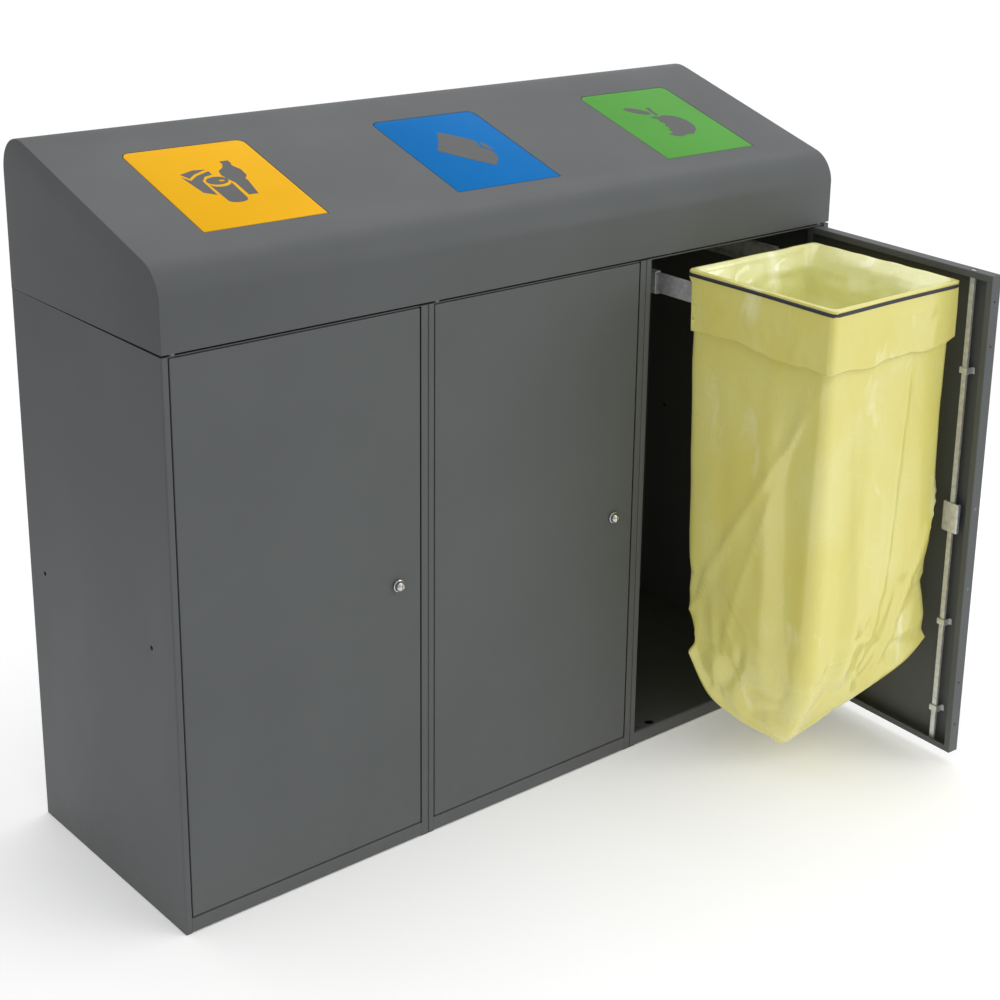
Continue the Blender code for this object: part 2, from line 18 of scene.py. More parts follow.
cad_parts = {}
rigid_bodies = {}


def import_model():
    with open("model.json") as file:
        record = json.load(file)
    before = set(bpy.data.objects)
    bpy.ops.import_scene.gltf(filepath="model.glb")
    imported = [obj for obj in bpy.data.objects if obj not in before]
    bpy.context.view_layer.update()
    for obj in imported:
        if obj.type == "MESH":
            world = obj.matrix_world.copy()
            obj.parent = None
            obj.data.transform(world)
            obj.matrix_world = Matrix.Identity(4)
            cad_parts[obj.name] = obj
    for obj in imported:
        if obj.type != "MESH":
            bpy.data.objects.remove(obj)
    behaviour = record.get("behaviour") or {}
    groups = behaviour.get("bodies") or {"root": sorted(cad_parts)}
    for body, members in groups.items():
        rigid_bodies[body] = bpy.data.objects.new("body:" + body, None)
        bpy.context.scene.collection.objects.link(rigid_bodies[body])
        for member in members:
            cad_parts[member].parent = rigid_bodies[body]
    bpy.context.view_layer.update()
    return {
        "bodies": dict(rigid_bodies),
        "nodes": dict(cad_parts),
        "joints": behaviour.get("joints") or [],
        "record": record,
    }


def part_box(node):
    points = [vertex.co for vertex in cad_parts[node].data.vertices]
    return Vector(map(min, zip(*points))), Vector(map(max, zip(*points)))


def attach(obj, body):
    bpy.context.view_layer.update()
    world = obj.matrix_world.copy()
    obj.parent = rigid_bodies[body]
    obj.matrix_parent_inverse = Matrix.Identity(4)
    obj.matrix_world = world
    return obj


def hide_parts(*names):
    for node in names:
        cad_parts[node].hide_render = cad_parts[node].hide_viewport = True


LOG = logging.getLogger("recycling_station")
SHEET = 0.0015
PITCH = 0.400
QUARTER = math.pi / 2
SLOPE = math.radians(17)
RIDGE = 1.0085
SIDES = ((-1, "left"), (1, "right"))
CABINETS = (1, 2, 3)
AXIS_X = Vector((1.0, 0.0, 0.0))
AXIS_Z = Vector((0.0, 0.0, 1.0))

Color = tuple[float, float, float]
Point = tuple[float, float]


def cabinet_x(number: int) -> float:
    """The middle of a cabinet, across the station."""
    return (number - 2) * PITCH


# ---------------------------------------------------------------- mesh helpers


def deselect() -> None:
    """Leave object mode's selection empty."""
    if bpy.context.object and bpy.context.object.mode != "OBJECT":
        bpy.ops.object.mode_set(mode="OBJECT")
    bpy.ops.object.select_all(action="DESELECT")


def only(obj: bpy.types.Object) -> bpy.types.Object:
    """Select one object and make it active.

    Args:
        obj: the object to work on.

    Returns:
        The same object.
    """
    deselect()
    obj.select_set(True)
    bpy.context.view_layer.objects.active = obj
    return obj


def named(name: str) -> bpy.types.Object:
    """Name the active object and its mesh.

    Args:
        name: the piece's name.

    Returns:
        The active object.
    """
    obj = bpy.context.object
    obj.name = name
    obj.data.name = name
    return obj


def freeze(obj: bpy.types.Object) -> bpy.types.Object:
    """Apply an object's place, turn and scale to its mesh.

    Args:
        obj: the object.

    Returns:
        The same object.
    """
    only(obj)
    bpy.ops.object.transform_apply(location=True, rotation=True, scale=True)
    return obj


def add_box(name: str, low: Vector | tuple, high: Vector | tuple) -> bpy.types.Object:
    """Add a box between two corners, ready for shaping.

    Args:
        name: the piece's name.
        low: its lowest corner.
        high: its highest corner.

    Returns:
        The new object, its place applied.
    """
    low, high = Vector(low), Vector(high)
    deselect()
    bpy.ops.mesh.primitive_cube_add(size=1.0, location=(low + high) / 2)
    obj = named(name)
    obj.scale = high - low
    return freeze(obj)


def add_disc(name: str, centre: Vector | tuple, axis: Vector, radius: float, depth: float,
             sides: int = 24) -> bpy.types.Object:
    """Add a cylinder about its centre, along any axis.

    Args:
        name: the piece's name.
        centre: its middle.
        axis: the direction it points in.
        radius: its radius.
        depth: its length.
        sides: sides round it.

    Returns:
        The new object, its place applied.
    """
    deselect()
    turn = axis.to_track_quat("Z", "Y").to_euler()
    bpy.ops.mesh.primitive_cylinder_add(vertices=sides, radius=radius, depth=depth,
                                        location=centre, rotation=turn)
    return freeze(named(name))


def apply_all(obj: bpy.types.Object) -> bpy.types.Object:
    """Apply every modifier of an object in order.

    Args:
        obj: the object.

    Returns:
        The same object.
    """
    only(obj)
    for modifier in list(obj.modifiers):
        bpy.ops.object.modifier_apply(modifier=modifier.name)
    return obj


def bevelled(obj: bpy.types.Object, width: float, segments: int = 3,
             angle: float = 30.0) -> bpy.types.Object:
    """Round an object's edges.

    Args:
        obj: the object.
        width: size of the rounding.
        segments: facets across it.
        angle: only edges sharper than this many degrees are rounded.

    Returns:
        The same object.
    """
    edge = obj.modifiers.new("edges", "BEVEL")
    edge.width = width
    edge.segments = segments
    edge.limit_method = "ANGLE"
    edge.angle_limit = math.radians(angle)
    edge.harden_normals = False
    return apply_all(obj)


def boolean(obj: bpy.types.Object, tool: bpy.types.Object, operation: str) -> bpy.types.Object:
    """Cut or join an object with a tool, which is then removed.

    Args:
        obj: the object.
        tool: the cutter or the piece to join.
        operation: DIFFERENCE or UNION.

    Returns:
        The same object.
    """
    change = obj.modifiers.new("shape", "BOOLEAN")
    change.operation = operation
    change.solver = "EXACT"
    change.object = tool
    apply_all(obj)
    bpy.data.objects.remove(tool, do_unlink=True)
    return obj


def shade(obj: bpy.types.Object, degrees: float = 32.0) -> bpy.types.Object:
    """Shade an object smooth up to an angle."""
    only(obj)
    bpy.ops.object.shade_smooth_by_angle(angle=math.radians(degrees))
    return obj


def clean(obj: bpy.types.Object, distance: float = 0.00002) -> bpy.types.Object:
    """Merge doubles and point the faces outwards.

    Args:
        obj: the object.
        distance: points closer than this become one.

    Returns:
        The same object.
    """
    edit_all(obj)
    bpy.ops.mesh.remove_doubles(threshold=distance)
    bpy.ops.mesh.normals_make_consistent(inside=False)
    bpy.ops.object.mode_set(mode="OBJECT")
    return obj


def joined(name: str, pieces: list[bpy.types.Object]) -> bpy.types.Object:
    """Join several objects into one mesh.

    Args:
        name: the new piece's name.
        pieces: the objects, at least one.

    Returns:
        The joined object.
    """
    deselect()
    for piece in pieces:
        piece.select_set(True)
    bpy.context.view_layer.objects.active = pieces[0]
    if len(pieces) > 1:
        bpy.ops.object.join()
    return named(name)


def transformed(obj: bpy.types.Object, matrix: Matrix) -> bpy.types.Object:
    """Move an object by a matrix and apply it to its mesh."""
    obj.matrix_world = matrix @ obj.matrix_world
    return freeze(obj)


def copied(obj: bpy.types.Object, name: str, matrix: Matrix) -> bpy.types.Object:
    """Copy a piece with its own mesh.

    Args:
        obj: the piece.
        name: the copy's name.
        matrix: where the copy goes, from where the piece is.

    Returns:
        The copy, its place applied.
    """
    only(obj)
    bpy.ops.object.duplicate(linked=False)
    return transformed(named(name), matrix)


def select_parts(obj: bpy.types.Object, kind: str, test: Callable[[object], bool]) -> None:
    """Enter edit mode with only the faces or edges that pass a test selected.

    Args:
        obj: the object.
        kind: FACE or EDGE.
        test: says whether a face or an edge is wanted.
    """
    only(obj)
    bpy.ops.object.mode_set(mode="EDIT")
    bpy.ops.mesh.select_mode(type=kind)
    bpy.ops.mesh.select_all(action="DESELECT")
    bpy.ops.object.mode_set(mode="OBJECT")
    for part in obj.data.polygons if kind == "FACE" else obj.data.edges:
        part.select = bool(test(part))
    bpy.ops.object.mode_set(mode="EDIT")


def edit_all(obj: bpy.types.Object) -> None:
    """Enter edit mode with the whole mesh selected."""
    only(obj)
    bpy.ops.object.mode_set(mode="EDIT")
    bpy.ops.mesh.select_all(action="SELECT")


def outline_mesh(name: str, loops: list[list[Point]], thick: float,
                 matrix: Matrix) -> bpy.types.Object:
    """A flat figure with holes, as a thin solid.

    Args:
        name: the piece's name.
        loops: closed outlines in the figure's own plane; one inside another is a hole.
        thick: its thickness; the figure's plane is its lower face.
        matrix: where the plane lies.

    Returns:
        The new object, its place applied.
    """
    curve = bpy.data.curves.new(name, "CURVE")
    curve.dimensions = "2D"
    curve.fill_mode = "BOTH"
    curve.extrude = thick / 2
    for loop in loops:
        spline = curve.splines.new("POLY")
        spline.points.add(len(loop) - 1)
        for point, (x, y) in zip(spline.points, loop):
            point.co = (x, y, 0.0, 1.0)
        spline.use_cyclic_u = True
    obj = bpy.data.objects.new(name, curve)
    bpy.context.scene.collection.objects.link(obj)
    obj.matrix_world = matrix @ Matrix.Translation((0, 0, thick / 2))
    only(obj)
    bpy.ops.object.convert(target="MESH")
    obj = named(name)
    freeze(obj)
    return clean(obj)


def swept(name: str, points: list[Vector], radius: float, cyclic: bool,
          sides: int = 3) -> bpy.types.Object:
    """A round bar along a path, as a mesh.

    Args:
        name: the piece's name.
        points: the path.
        radius: the bar's radius.
        cyclic: whether the path closes.
        sides: the curve's bevel resolution.

    Returns:
        The new object.
    """
    curve = bpy.data.curves.new(name, "CURVE")
    curve.dimensions = "3D"
    curve.bevel_depth = radius
    curve.bevel_resolution = sides
    curve.use_fill_caps = not cyclic
    spline = curve.splines.new("POLY")
    spline.points.add(len(points) - 1)
    for point, place in zip(spline.points, points):
        point.co = (*place, 1.0)
    spline.use_cyclic_u = cyclic
    obj = bpy.data.objects.new(name, curve)
    bpy.context.scene.collection.objects.link(obj)
    only(obj)
    bpy.ops.object.convert(target="MESH")
    return shade(clean(named(name)), 60)


# ---------------------------------------------------------------- shader groups


@dataclass
class Nodes:
    """A node tree with short ways to add and join nodes."""

    tree: bpy.types.NodeTree

    def add(self, kind: str, **values: object) -> bpy.types.Node:
        """Add a node.

        Args:
            kind: its type's name without the ShaderNode prefix, or a full name.
            values: properties of the node.

        Returns:
            The node.
        """
        full = kind if kind.startswith("NodeGroup") else f"ShaderNode{kind}"
        node = self.tree.nodes.new(full)
        for key, value in values.items():
            setattr(node, key, value)
        return node

    def link(self, source: bpy.types.NodeSocket, target: bpy.types.NodeSocket) -> None:
        """Join two sockets."""
        self.tree.links.new(source, target)

    def math(self, operation: str, first: object, second: object = 0.5) -> bpy.types.NodeSocket:
        """A Math node.

        Args:
            operation: its operation.
            first: a socket or a number.
            second: a socket or a number.

        Returns:
            Its output.
        """
        node = self.add("Math", operation=operation)
        for socket, value in zip(node.inputs, (first, second)):
            self.feed(socket, value)
        return node.outputs[0]

    def scaled(self, value: bpy.types.NodeSocket, factor: float, offset: object) -> bpy.types.NodeSocket:
        """Multiply a value and add to it.

        Args:
            value: the value.
            factor: what it is multiplied by.
            offset: a number or a socket that is added.

        Returns:
            The result.
        """
        result = self.math("MULTIPLY_ADD", value, factor)
        self.feed(result.node.inputs[2], offset)
        return result

    def feed(self, socket: bpy.types.NodeSocket, value: object) -> None:
        """Give an input what it reads.

        Args:
            socket: the input.
            value: a socket, a number or a colour.
        """
        if isinstance(value, bpy.types.NodeSocket):
            self.link(value, socket)
        elif isinstance(value, tuple):
            socket.default_value = (*value, 1.0)
        else:
            socket.default_value = value

    def ramp(self, value: bpy.types.NodeSocket, stops: list[Point]) -> bpy.types.NodeSocket:
        """Map a value through grey stops.

        Args:
            value: the value.
            stops: positions and grey levels, in order.

        Returns:
            The mapped value.
        """
        node = self.add("ValToRGB")
        elements = node.color_ramp.elements
        while len(elements) < len(stops):
            elements.new(0.5)
        for element, (position, level) in zip(elements, stops):
            element.position = position
            element.color = (level, level, level, 1.0)
        self.link(value, node.inputs[0])
        return node.outputs[0]

    def mix(self, factor: object, first: object, second: object) -> bpy.types.NodeSocket:
        """Mix two colours.

        Args:
            factor: a socket or a number.
            first: a socket or a colour.
            second: a socket or a colour.

        Returns:
            The mixed colour.
        """
        node = self.add("Mix", data_type="RGBA")
        for index, value in ((0, factor), (6, first), (7, second)):
            self.feed(node.inputs[index], value)
        return node.outputs[2]


class Effect(Enum):
    """Shared effects, each a node group built once."""

    POWDER = "powder_coat_grain"
    BRUSHED = "drawn_metal_lines"
    HANDLING = "handling_marks"
    FILM = "film_creases"
    RIB = "elastic_ribs"


class EffectLibrary:
    """Builds each shared effect the first time it is asked for."""

    def __init__(self) -> None:
        """Start with no groups."""
        self.made: dict[Effect, bpy.types.NodeTree] = {}

    def group(self, effect: Effect) -> bpy.types.NodeTree:
        """The node group of an effect.

        Args:
            effect: which effect.

        Returns:
            Its node tree.
        """
        if effect not in self.made:
            builder = {Effect.POWDER: self._powder, Effect.BRUSHED: self._brushed,
                       Effect.HANDLING: self._handling, Effect.FILM: self._film,
                       Effect.RIB: self._rib}[effect]
            self.made[effect] = builder()
        return self.made[effect]

    def _start(self, effect: Effect, inputs: dict[str, float], outputs: list[str]) -> tuple:
        """Make an empty group.

        Args:
            effect: which effect it is for.
            inputs: names and default values of its number inputs.
            outputs: names of its number outputs.

        Returns:
            The tree, its Nodes helper, the input node and the output node.
        """
        tree = bpy.data.node_groups.new(effect.value, "ShaderNodeTree")
        tree.interface.new_socket("Vector", in_out="INPUT", socket_type="NodeSocketVector")
        for name, value in inputs.items():
            socket = tree.interface.new_socket(name, in_out="INPUT", socket_type="NodeSocketFloat")
            socket.default_value = value
        for name in outputs:
            tree.interface.new_socket(name, in_out="OUTPUT", socket_type="NodeSocketFloat")
        nodes = Nodes(tree)
        return tree, nodes, nodes.add("NodeGroupInput"), nodes.add("NodeGroupOutput")

    def _noise(self, nodes: Nodes, vector: bpy.types.NodeSocket, scale: object, detail: float,
               stretch: tuple[float, float, float] | None = None) -> bpy.types.NodeSocket:
        """A noise value.

        Args:
            nodes: where it goes.
            vector: the coordinates.
            scale: a number or a socket.
            detail: octaves.
            stretch: scale along each axis first.

        Returns:
            The noise value.
        """
        if stretch:
            mapping = nodes.add("Mapping")
            mapping.inputs["Scale"].default_value = stretch
            nodes.link(vector, mapping.inputs["Vector"])
            vector = mapping.outputs[0]
        texture = nodes.add("TexNoise")
        nodes.link(vector, texture.inputs["Vector"])
        nodes.feed(texture.inputs["Scale"], scale)
        texture.inputs["Detail"].default_value = detail
        return texture.outputs["Fac"]

    def _powder(self) -> bpy.types.NodeTree:
        """Fine orange peel of a powder coat, with a slow drift of gloss.

        Returns:
            The group.
        """
        tree, nodes, start, end = self._start(Effect.POWDER, {"Grain": 900.0, "Drift": 5.0},
                                              ["Height", "Gloss", "Shade"])
        fine = self._noise(nodes, start.outputs["Vector"], start.outputs["Grain"], 2.0)
        drift = self._noise(nodes, start.outputs["Vector"], start.outputs["Drift"], 3.0)
        nodes.link(fine, end.inputs["Height"])
        nodes.link(nodes.scaled(fine, 0.3, 0.5), end.inputs["Gloss"])
        nodes.link(drift, end.inputs["Shade"])
        return tree

    def _brushed(self) -> bpy.types.NodeTree:
        """Long drawn lines along Y with a crystalline drift of brightness.

        Returns:
            The group.
        """
        tree, nodes, start, end = self._start(Effect.BRUSHED, {"Spangle": 120.0},
                                              ["Height", "Shade"])
        lines = self._noise(nodes, start.outputs["Vector"], 60.0, 3.0, (18.0, 0.6, 18.0))
        cells = nodes.add("TexVoronoi")
        nodes.link(start.outputs["Vector"], cells.inputs["Vector"])
        nodes.link(start.outputs["Spangle"], cells.inputs["Scale"])
        nodes.link(lines, end.inputs["Height"])
        nodes.link(nodes.math("MULTIPLY", cells.outputs["Distance"], lines), end.inputs["Shade"])
        return tree

    def _handling(self) -> bpy.types.NodeTree:
        """Faint smears, fine scuffs and dust towards the floor, each a mask.

        Returns:
            The group.
        """
        tree, nodes, start, end = self._start(Effect.HANDLING, {"Size": 7.0},
                                              ["Smear", "Scuff", "Dust"])
        vector = start.outputs["Vector"]
        smear = self._noise(nodes, vector, start.outputs["Size"], 6.0, (1.0, 1.0, 0.35))
        nodes.link(nodes.ramp(smear, [(0.45, 0.0), (0.75, 1.0)]), end.inputs["Smear"])
        scuff = self._noise(nodes, vector, 38.0, 8.0, (1.0, 1.0, 6.0))
        nodes.link(nodes.ramp(scuff, [(0.66, 0.0), (0.74, 1.0)]), end.inputs["Scuff"])
        split = nodes.add("SeparateXYZ")
        nodes.link(vector, split.inputs[0])
        low = nodes.add("MapRange")
        nodes.link(split.outputs["Z"], low.inputs["Value"])
        low.inputs["From Min"].default_value = 0.16
        low.inputs["From Max"].default_value = 0.0
        specks = self._noise(nodes, vector, 60.0, 4.0)
        nodes.link(nodes.math("MULTIPLY", low.outputs[0], specks), end.inputs["Dust"])
        return tree

    def _film(self) -> bpy.types.NodeTree:
        """Creases and small wrinkles of thin film, mostly upright, with masks for painted highlight streaks
        along the creases and painted highlight patches.

        Returns:
            The group.
        """
        tree, nodes, start, end = self._start(Effect.FILM, {"Scale": 1.0},
                                              ["Height", "Thickness", "PaintedStreak", "PaintedHighlight"])
        scaled = nodes.add("VectorMath", operation="SCALE")
        nodes.link(start.outputs["Vector"], scaled.inputs[0])
        nodes.link(start.outputs["Scale"], scaled.inputs["Scale"])
        vector = scaled.outputs[0]
        warp = nodes.add("TexNoise")
        nodes.link(vector, warp.inputs["Vector"])
        warp.inputs["Scale"].default_value = 9.0
        bent = nodes.add("Mix", data_type="VECTOR")
        bent.inputs[0].default_value = 0.06
        nodes.link(vector, bent.inputs[4])
        nodes.link(warp.outputs["Color"], bent.inputs[5])
        upright = self._noise(nodes, bent.outputs[1], 30.0, 3.0, (1.0, 1.0, 0.10))
        crease = nodes.ramp(upright, [(0.47, 0.0), (0.50, 1.0), (0.53, 0.0)])
        patch = self._noise(nodes, bent.outputs[1], 11.0, 3.0, (1.0, 1.0, 0.7))
        fine = self._noise(nodes, bent.outputs[1], 240.0, 4.0)
        height = nodes.scaled(patch, 0.9, nodes.math("MULTIPLY", crease, 0.05))
        nodes.link(nodes.scaled(fine, 0.10, height), end.inputs["Height"])
        # A mask of rare patches for painted highlights.
        rare = self._noise(nodes, bent.outputs[1], 19.0, 5.0, (1.0, 1.0, 0.30))
        nodes.link(nodes.ramp(rare, [(0.62, 0.0), (0.74, 1.0)]), end.inputs["PaintedHighlight"])
        nodes.link(nodes.ramp(patch, [(0.35, 0.0), (0.65, 1.0)]), end.inputs["Thickness"])
        # A mask of narrow lines along the creases, for painted highlight streaks.
        nodes.link(nodes.ramp(upright, [(0.485, 0.0), (0.50, 1.0), (0.515, 0.0)]), end.inputs["PaintedStreak"])
        return tree

    def _rib(self) -> bpy.types.NodeTree:
        """Fine ribs of a woven elastic.

        Returns:
            The group.
        """
        tree, nodes, start, end = self._start(Effect.RIB, {"Pitch": 900.0}, ["Height", "Shade"])
        wave = nodes.add("TexWave", bands_direction="DIAGONAL")
        nodes.link(start.outputs["Vector"], wave.inputs["Vector"])
        nodes.link(start.outputs["Pitch"], wave.inputs["Scale"])
        wave.inputs["Distortion"].default_value = 1.5
        nodes.link(wave.outputs["Fac"], end.inputs["Height"])
        nodes.link(wave.outputs["Fac"], end.inputs["Shade"])
        return tree


EFFECTS = EffectLibrary()


# ---------------------------------------------------------------- finishes


@dataclass(frozen=True)
class Finish:
    """What every finish has: a name and a base colour."""

    name: str
    color: Color

    def start(self) -> tuple[bpy.types.Material, Nodes, bpy.types.Node, bpy.types.Node]:
        """A new material.

        Returns:
            The material, its nodes, its Principled shader and its coordinates.
        """
        made = bpy.data.materials.new(self.name)
        made.use_nodes = True
        nodes = Nodes(made.node_tree)
        shader = made.node_tree.nodes["Principled BSDF"]
        shader.inputs["Base Color"].default_value = (*self.color, 1.0)
        return made, nodes, shader, nodes.add("TexCoord")

    def effect(self, nodes: Nodes, kind: Effect, vector: bpy.types.NodeSocket,
               **values: float) -> bpy.types.Node:
        """Place a shared effect in a material.

        Args:
            nodes: the material's nodes.
            kind: which effect.
            vector: the coordinates it reads.
            values: its inputs, by name in lower case.

        Returns:
            The group node.
        """
        node = nodes.add("Group")
        node.node_tree = EFFECTS.group(kind)
        nodes.link(vector, node.inputs["Vector"])
        for name, value in values.items():
            node.inputs[name.capitalize()].default_value = value
        return node

    def bump(self, nodes: Nodes, shader: bpy.types.Node, height: bpy.types.NodeSocket,
             strength: float, distance: float) -> None:
        """Feed a height into the shader's normal.

        Args:
            nodes: the material's nodes.
            shader: the Principled shader.
            height: the height.
            strength: the bump's strength.
            distance: its depth in metres.
        """
        node = nodes.add("Bump")
        node.inputs["Strength"].default_value = strength
        node.inputs["Distance"].default_value = distance
        nodes.link(height, node.inputs["Height"])
        nodes.link(node.outputs["Normal"], shader.inputs["Normal"])


@dataclass(frozen=True)
class PaintFinish(Finish):
    """Powder coat on steel."""

    roughness: float = 0.5
    dust: float = 0.10
    grain: float = 1400.0
    bump_depth: float = 0.00006
    gloss: float = 0.38

    def build(self) -> bpy.types.Material:
        """Make the material.

        Returns:
            The material.
        """
        made, nodes, shader, coords = self.start()
        place = coords.outputs["Object"]
        powder = self.effect(nodes, Effect.POWDER, place, grain=self.grain)
        marks = self.effect(nodes, Effect.HANDLING, place)
        dark = tuple(channel * 0.90 for channel in self.color)
        light = tuple(min(1.0, channel * 1.08 + 0.004) for channel in self.color)
        worn = tuple(min(1.0, channel * 1.5 + 0.05) for channel in self.color)
        base = nodes.mix(powder.outputs["Shade"], dark, light)
        scuffed = nodes.mix(nodes.math("MULTIPLY", marks.outputs["Scuff"], 0.06), base, worn)
        dusty = nodes.mix(nodes.math("MULTIPLY", marks.outputs["Dust"], self.dust), scuffed,
                          (0.30, 0.29, 0.27))
        nodes.link(dusty, shader.inputs["Base Color"])
        rough = nodes.scaled(marks.outputs["Smear"], -0.07, self.roughness)
        nodes.link(nodes.scaled(powder.outputs["Gloss"], 0.12, rough), shader.inputs["Roughness"])
        shader.inputs["Specular IOR Level"].default_value = self.gloss
        self.bump(nodes, shader, powder.outputs["Height"], 0.35, self.bump_depth)
        return made


@dataclass(frozen=True)
class MetalFinish(Finish):
    """Bare or plated metal."""

    roughness: float = 0.3
    contrast: float = 0.35
    lines: float = 0.25
    metal: float = 1.0

    def build(self) -> bpy.types.Material:
        """Make the material.

        Returns:
            The material.
        """
        made, nodes, shader, coords = self.start()
        place = coords.outputs["Object"]
        drawn = self.effect(nodes, Effect.BRUSHED, place)
        marks = self.effect(nodes, Effect.HANDLING, place)
        dark = tuple(channel * (1.0 - self.contrast) for channel in self.color)
        base = nodes.mix(nodes.math("MULTIPLY", drawn.outputs["Shade"], 1.6), self.color, dark)
        nodes.link(base, shader.inputs["Base Color"])
        shader.inputs["Metallic"].default_value = self.metal
        nodes.link(nodes.scaled(marks.outputs["Smear"], 0.12, self.roughness), shader.inputs["Roughness"])
        self.bump(nodes, shader, drawn.outputs["Height"], self.lines, 0.00005)
        return made


@dataclass(frozen=True)
class FilmFinish(Finish):
    """Thin coloured film: translucent, glossy and creased, with painted highlight streaks and patches and a
    painted glow from its emission.
    """

    deep: Color = (0.5, 0.45, 0.1)
    alpha: float = 0.9
    painted_glow: float = 0.27
    painted_highlights: float = 0.5
    crease: float = 0.0030

    def build(self) -> bpy.types.Material:
        """Make the material.

        Returns:
            The material.
        """
        made, nodes, shader, coords = self.start()
        film = self.effect(nodes, Effect.FILM, coords.outputs["Object"])
        base = nodes.mix(film.outputs["Thickness"], self.color, self.deep)
        # Painted highlight: lighter lines along the upright creases.
        with_painted_streaks = nodes.mix(nodes.math("MULTIPLY", film.outputs["PaintedStreak"], 0.07), base,
                             tuple(min(1.0, channel * 1.15 + 0.03) for channel in self.color))
        # Painted highlight: rare near-white patches standing for glints on the film.
        highlighted = nodes.mix(nodes.math("MULTIPLY", film.outputs["PaintedHighlight"], self.painted_highlights), with_painted_streaks,
                            (0.86, 0.87, 0.72))
        nodes.link(highlighted, shader.inputs["Base Color"])
        nodes.link(nodes.scaled(film.outputs["Thickness"], 0.12, 0.24), shader.inputs["Roughness"])
        shader.inputs["Specular IOR Level"].default_value = 0.60
        # Painted glow: the film emits its own streaked colour, standing in for light through and off it.
        nodes.link(with_painted_streaks, shader.inputs["Emission Color"])
        shader.inputs["Emission Strength"].default_value = self.painted_glow
        shader.inputs["Coat Weight"].default_value = 0.55
        shader.inputs["Coat Roughness"].default_value = 0.10
        shader.inputs["Alpha"].default_value = self.alpha
        self.bump(nodes, shader, film.outputs["Height"], 0.55, self.crease)
        return made


@dataclass(frozen=True)
class ElasticFinish(Finish):
    """Woven elastic."""

    def build(self) -> bpy.types.Material:
        """Make the material.

        Returns:
            The material.
        """
        made, nodes, shader, coords = self.start()
        ribs = self.effect(nodes, Effect.RIB, coords.outputs["Object"])
        base = nodes.mix(ribs.outputs["Shade"], tuple(channel * 0.6 for channel in self.color),
                         tuple(channel * 1.3 for channel in self.color))
        nodes.link(base, shader.inputs["Base Color"])
        shader.inputs["Roughness"].default_value = 0.62
        self.bump(nodes, shader, ribs.outputs["Height"], 0.5, 0.0002)
        return made


class Stock(Enum):
    """The finishes the station uses."""

    GREY = PaintFinish("grey_powder_coat", (0.083, 0.0890, 0.0915), 0.48)
    INSIDE = PaintFinish("grey_powder_coat_inside", (0.080, 0.083, 0.084), 0.52)
    SIGN = PaintFinish("grey_sign_paint", (0.100, 0.103, 0.102), 0.52, dust=0.0, gloss=0.25)
    YELLOW = PaintFinish("yellow_flap_paint", (0.790, 0.410, 0.000), 0.55, dust=0.0, gloss=0.10)
    BLUE = PaintFinish("blue_flap_paint", (0.0000, 0.140, 0.430), 0.55, dust=0.0, gloss=0.06)
    GREEN = PaintFinish("green_flap_paint", (0.092, 0.325, 0.055), 0.55, dust=0.0, gloss=0.10)
    ZINC = MetalFinish("bright_zinc", (0.84, 0.85, 0.86), 0.42, metal=0.5)
    BLUED = MetalFinish("blued_zinc", (0.20, 0.24, 0.29), 0.36, metal=0.8)
    SPRING = MetalFinish("spring_wire", (0.36, 0.36, 0.37), 0.36)
    CHROME = MetalFinish("polished_chrome", (0.62, 0.61, 0.60), 0.11, contrast=0.12, lines=0.04)
    DARK = PaintFinish("dark_plug", (0.012, 0.012, 0.012), 0.7, dust=0.0)
    # Lit and shaded copies of one bag film: the first has a painted glow, the shaded one almost none, and the
    # inside one is paler with more painted glow and painted highlights.
    FILM = FilmFinish("yellow_bag_film", (0.590, 0.555, 0.180), (0.580, 0.525, 0.125), alpha=0.97)
    FILM_SHUT = FilmFinish("yellow_bag_film_shaded", (0.610, 0.575, 0.190), (0.580, 0.525, 0.125),
                           alpha=0.97, painted_glow=0.005)
    FILM_INSIDE = FilmFinish("yellow_bag_film_inside_painted_light", (0.660, 0.660, 0.350), (0.600, 0.590, 0.260),
                             alpha=0.97, painted_glow=0.28, painted_highlights=0.9)
    ELASTIC = ElasticFinish("dark_elastic", (0.036, 0.037, 0.052))


class PaintShop:
    """Makes each finish once and puts it on pieces."""

    def __init__(self) -> None:
        """Start with nothing made."""
        self.made: dict[Stock, bpy.types.Material] = {}

    def mixed(self, stock: Stock) -> bpy.types.Material:
        """The material of a finish, made when it is first asked for.

        Args:
            stock: the finish.

        Returns:
            Its material.
        """
        if stock not in self.made:
            self.made[stock] = stock.value.build()
        return self.made[stock]

    def coat(self, obj: bpy.types.Object, stock: Stock) -> bpy.types.Object:
        """Give an object one finish all over.

        Args:
            obj: the object.
            stock: the finish.

        Returns:
            The same object.
        """
        material = self.mixed(stock)
        if not obj.data.materials:
            obj.data.materials.append(material)
        for slot in obj.material_slots:
            slot.material = material
        return obj

    def line(self, obj: bpy.types.Object, stock: Stock,
             test: Callable[[bpy.types.MeshPolygon], bool]) -> None:
        """Give some faces of a finished object another finish.

        Args:
            obj: the object.
            stock: the other finish.
            test: a function of a face that says whether it gets it.
        """
        obj.data.materials.append(self.mixed(stock))
        index = len(obj.data.materials) - 1
        for face in obj.data.polygons:
            if test(face):
                face.material_index = index


PAINT = PaintShop()


def fit(obj: bpy.types.Object, stock: Stock, body: str,
        stands_for: tuple[str, ...] = ()) -> bpy.types.Object:
    """Finish a new piece, put it on its body and say what it stands for.

    Args:
        obj: the piece.
        stock: its finish.
        body: the body it rides on.
        stands_for: the solids it replaces.

    Returns:
        The same object.
    """
    PAINT.coat(obj, stock)
    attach(obj, body)
    if stands_for:
        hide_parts(*stands_for)
    LOG.info("%s: %d faces, rides on %s", obj.name, len(obj.data.polygons), body)
    return obj


# ---------------------------------------------------------------- the hood


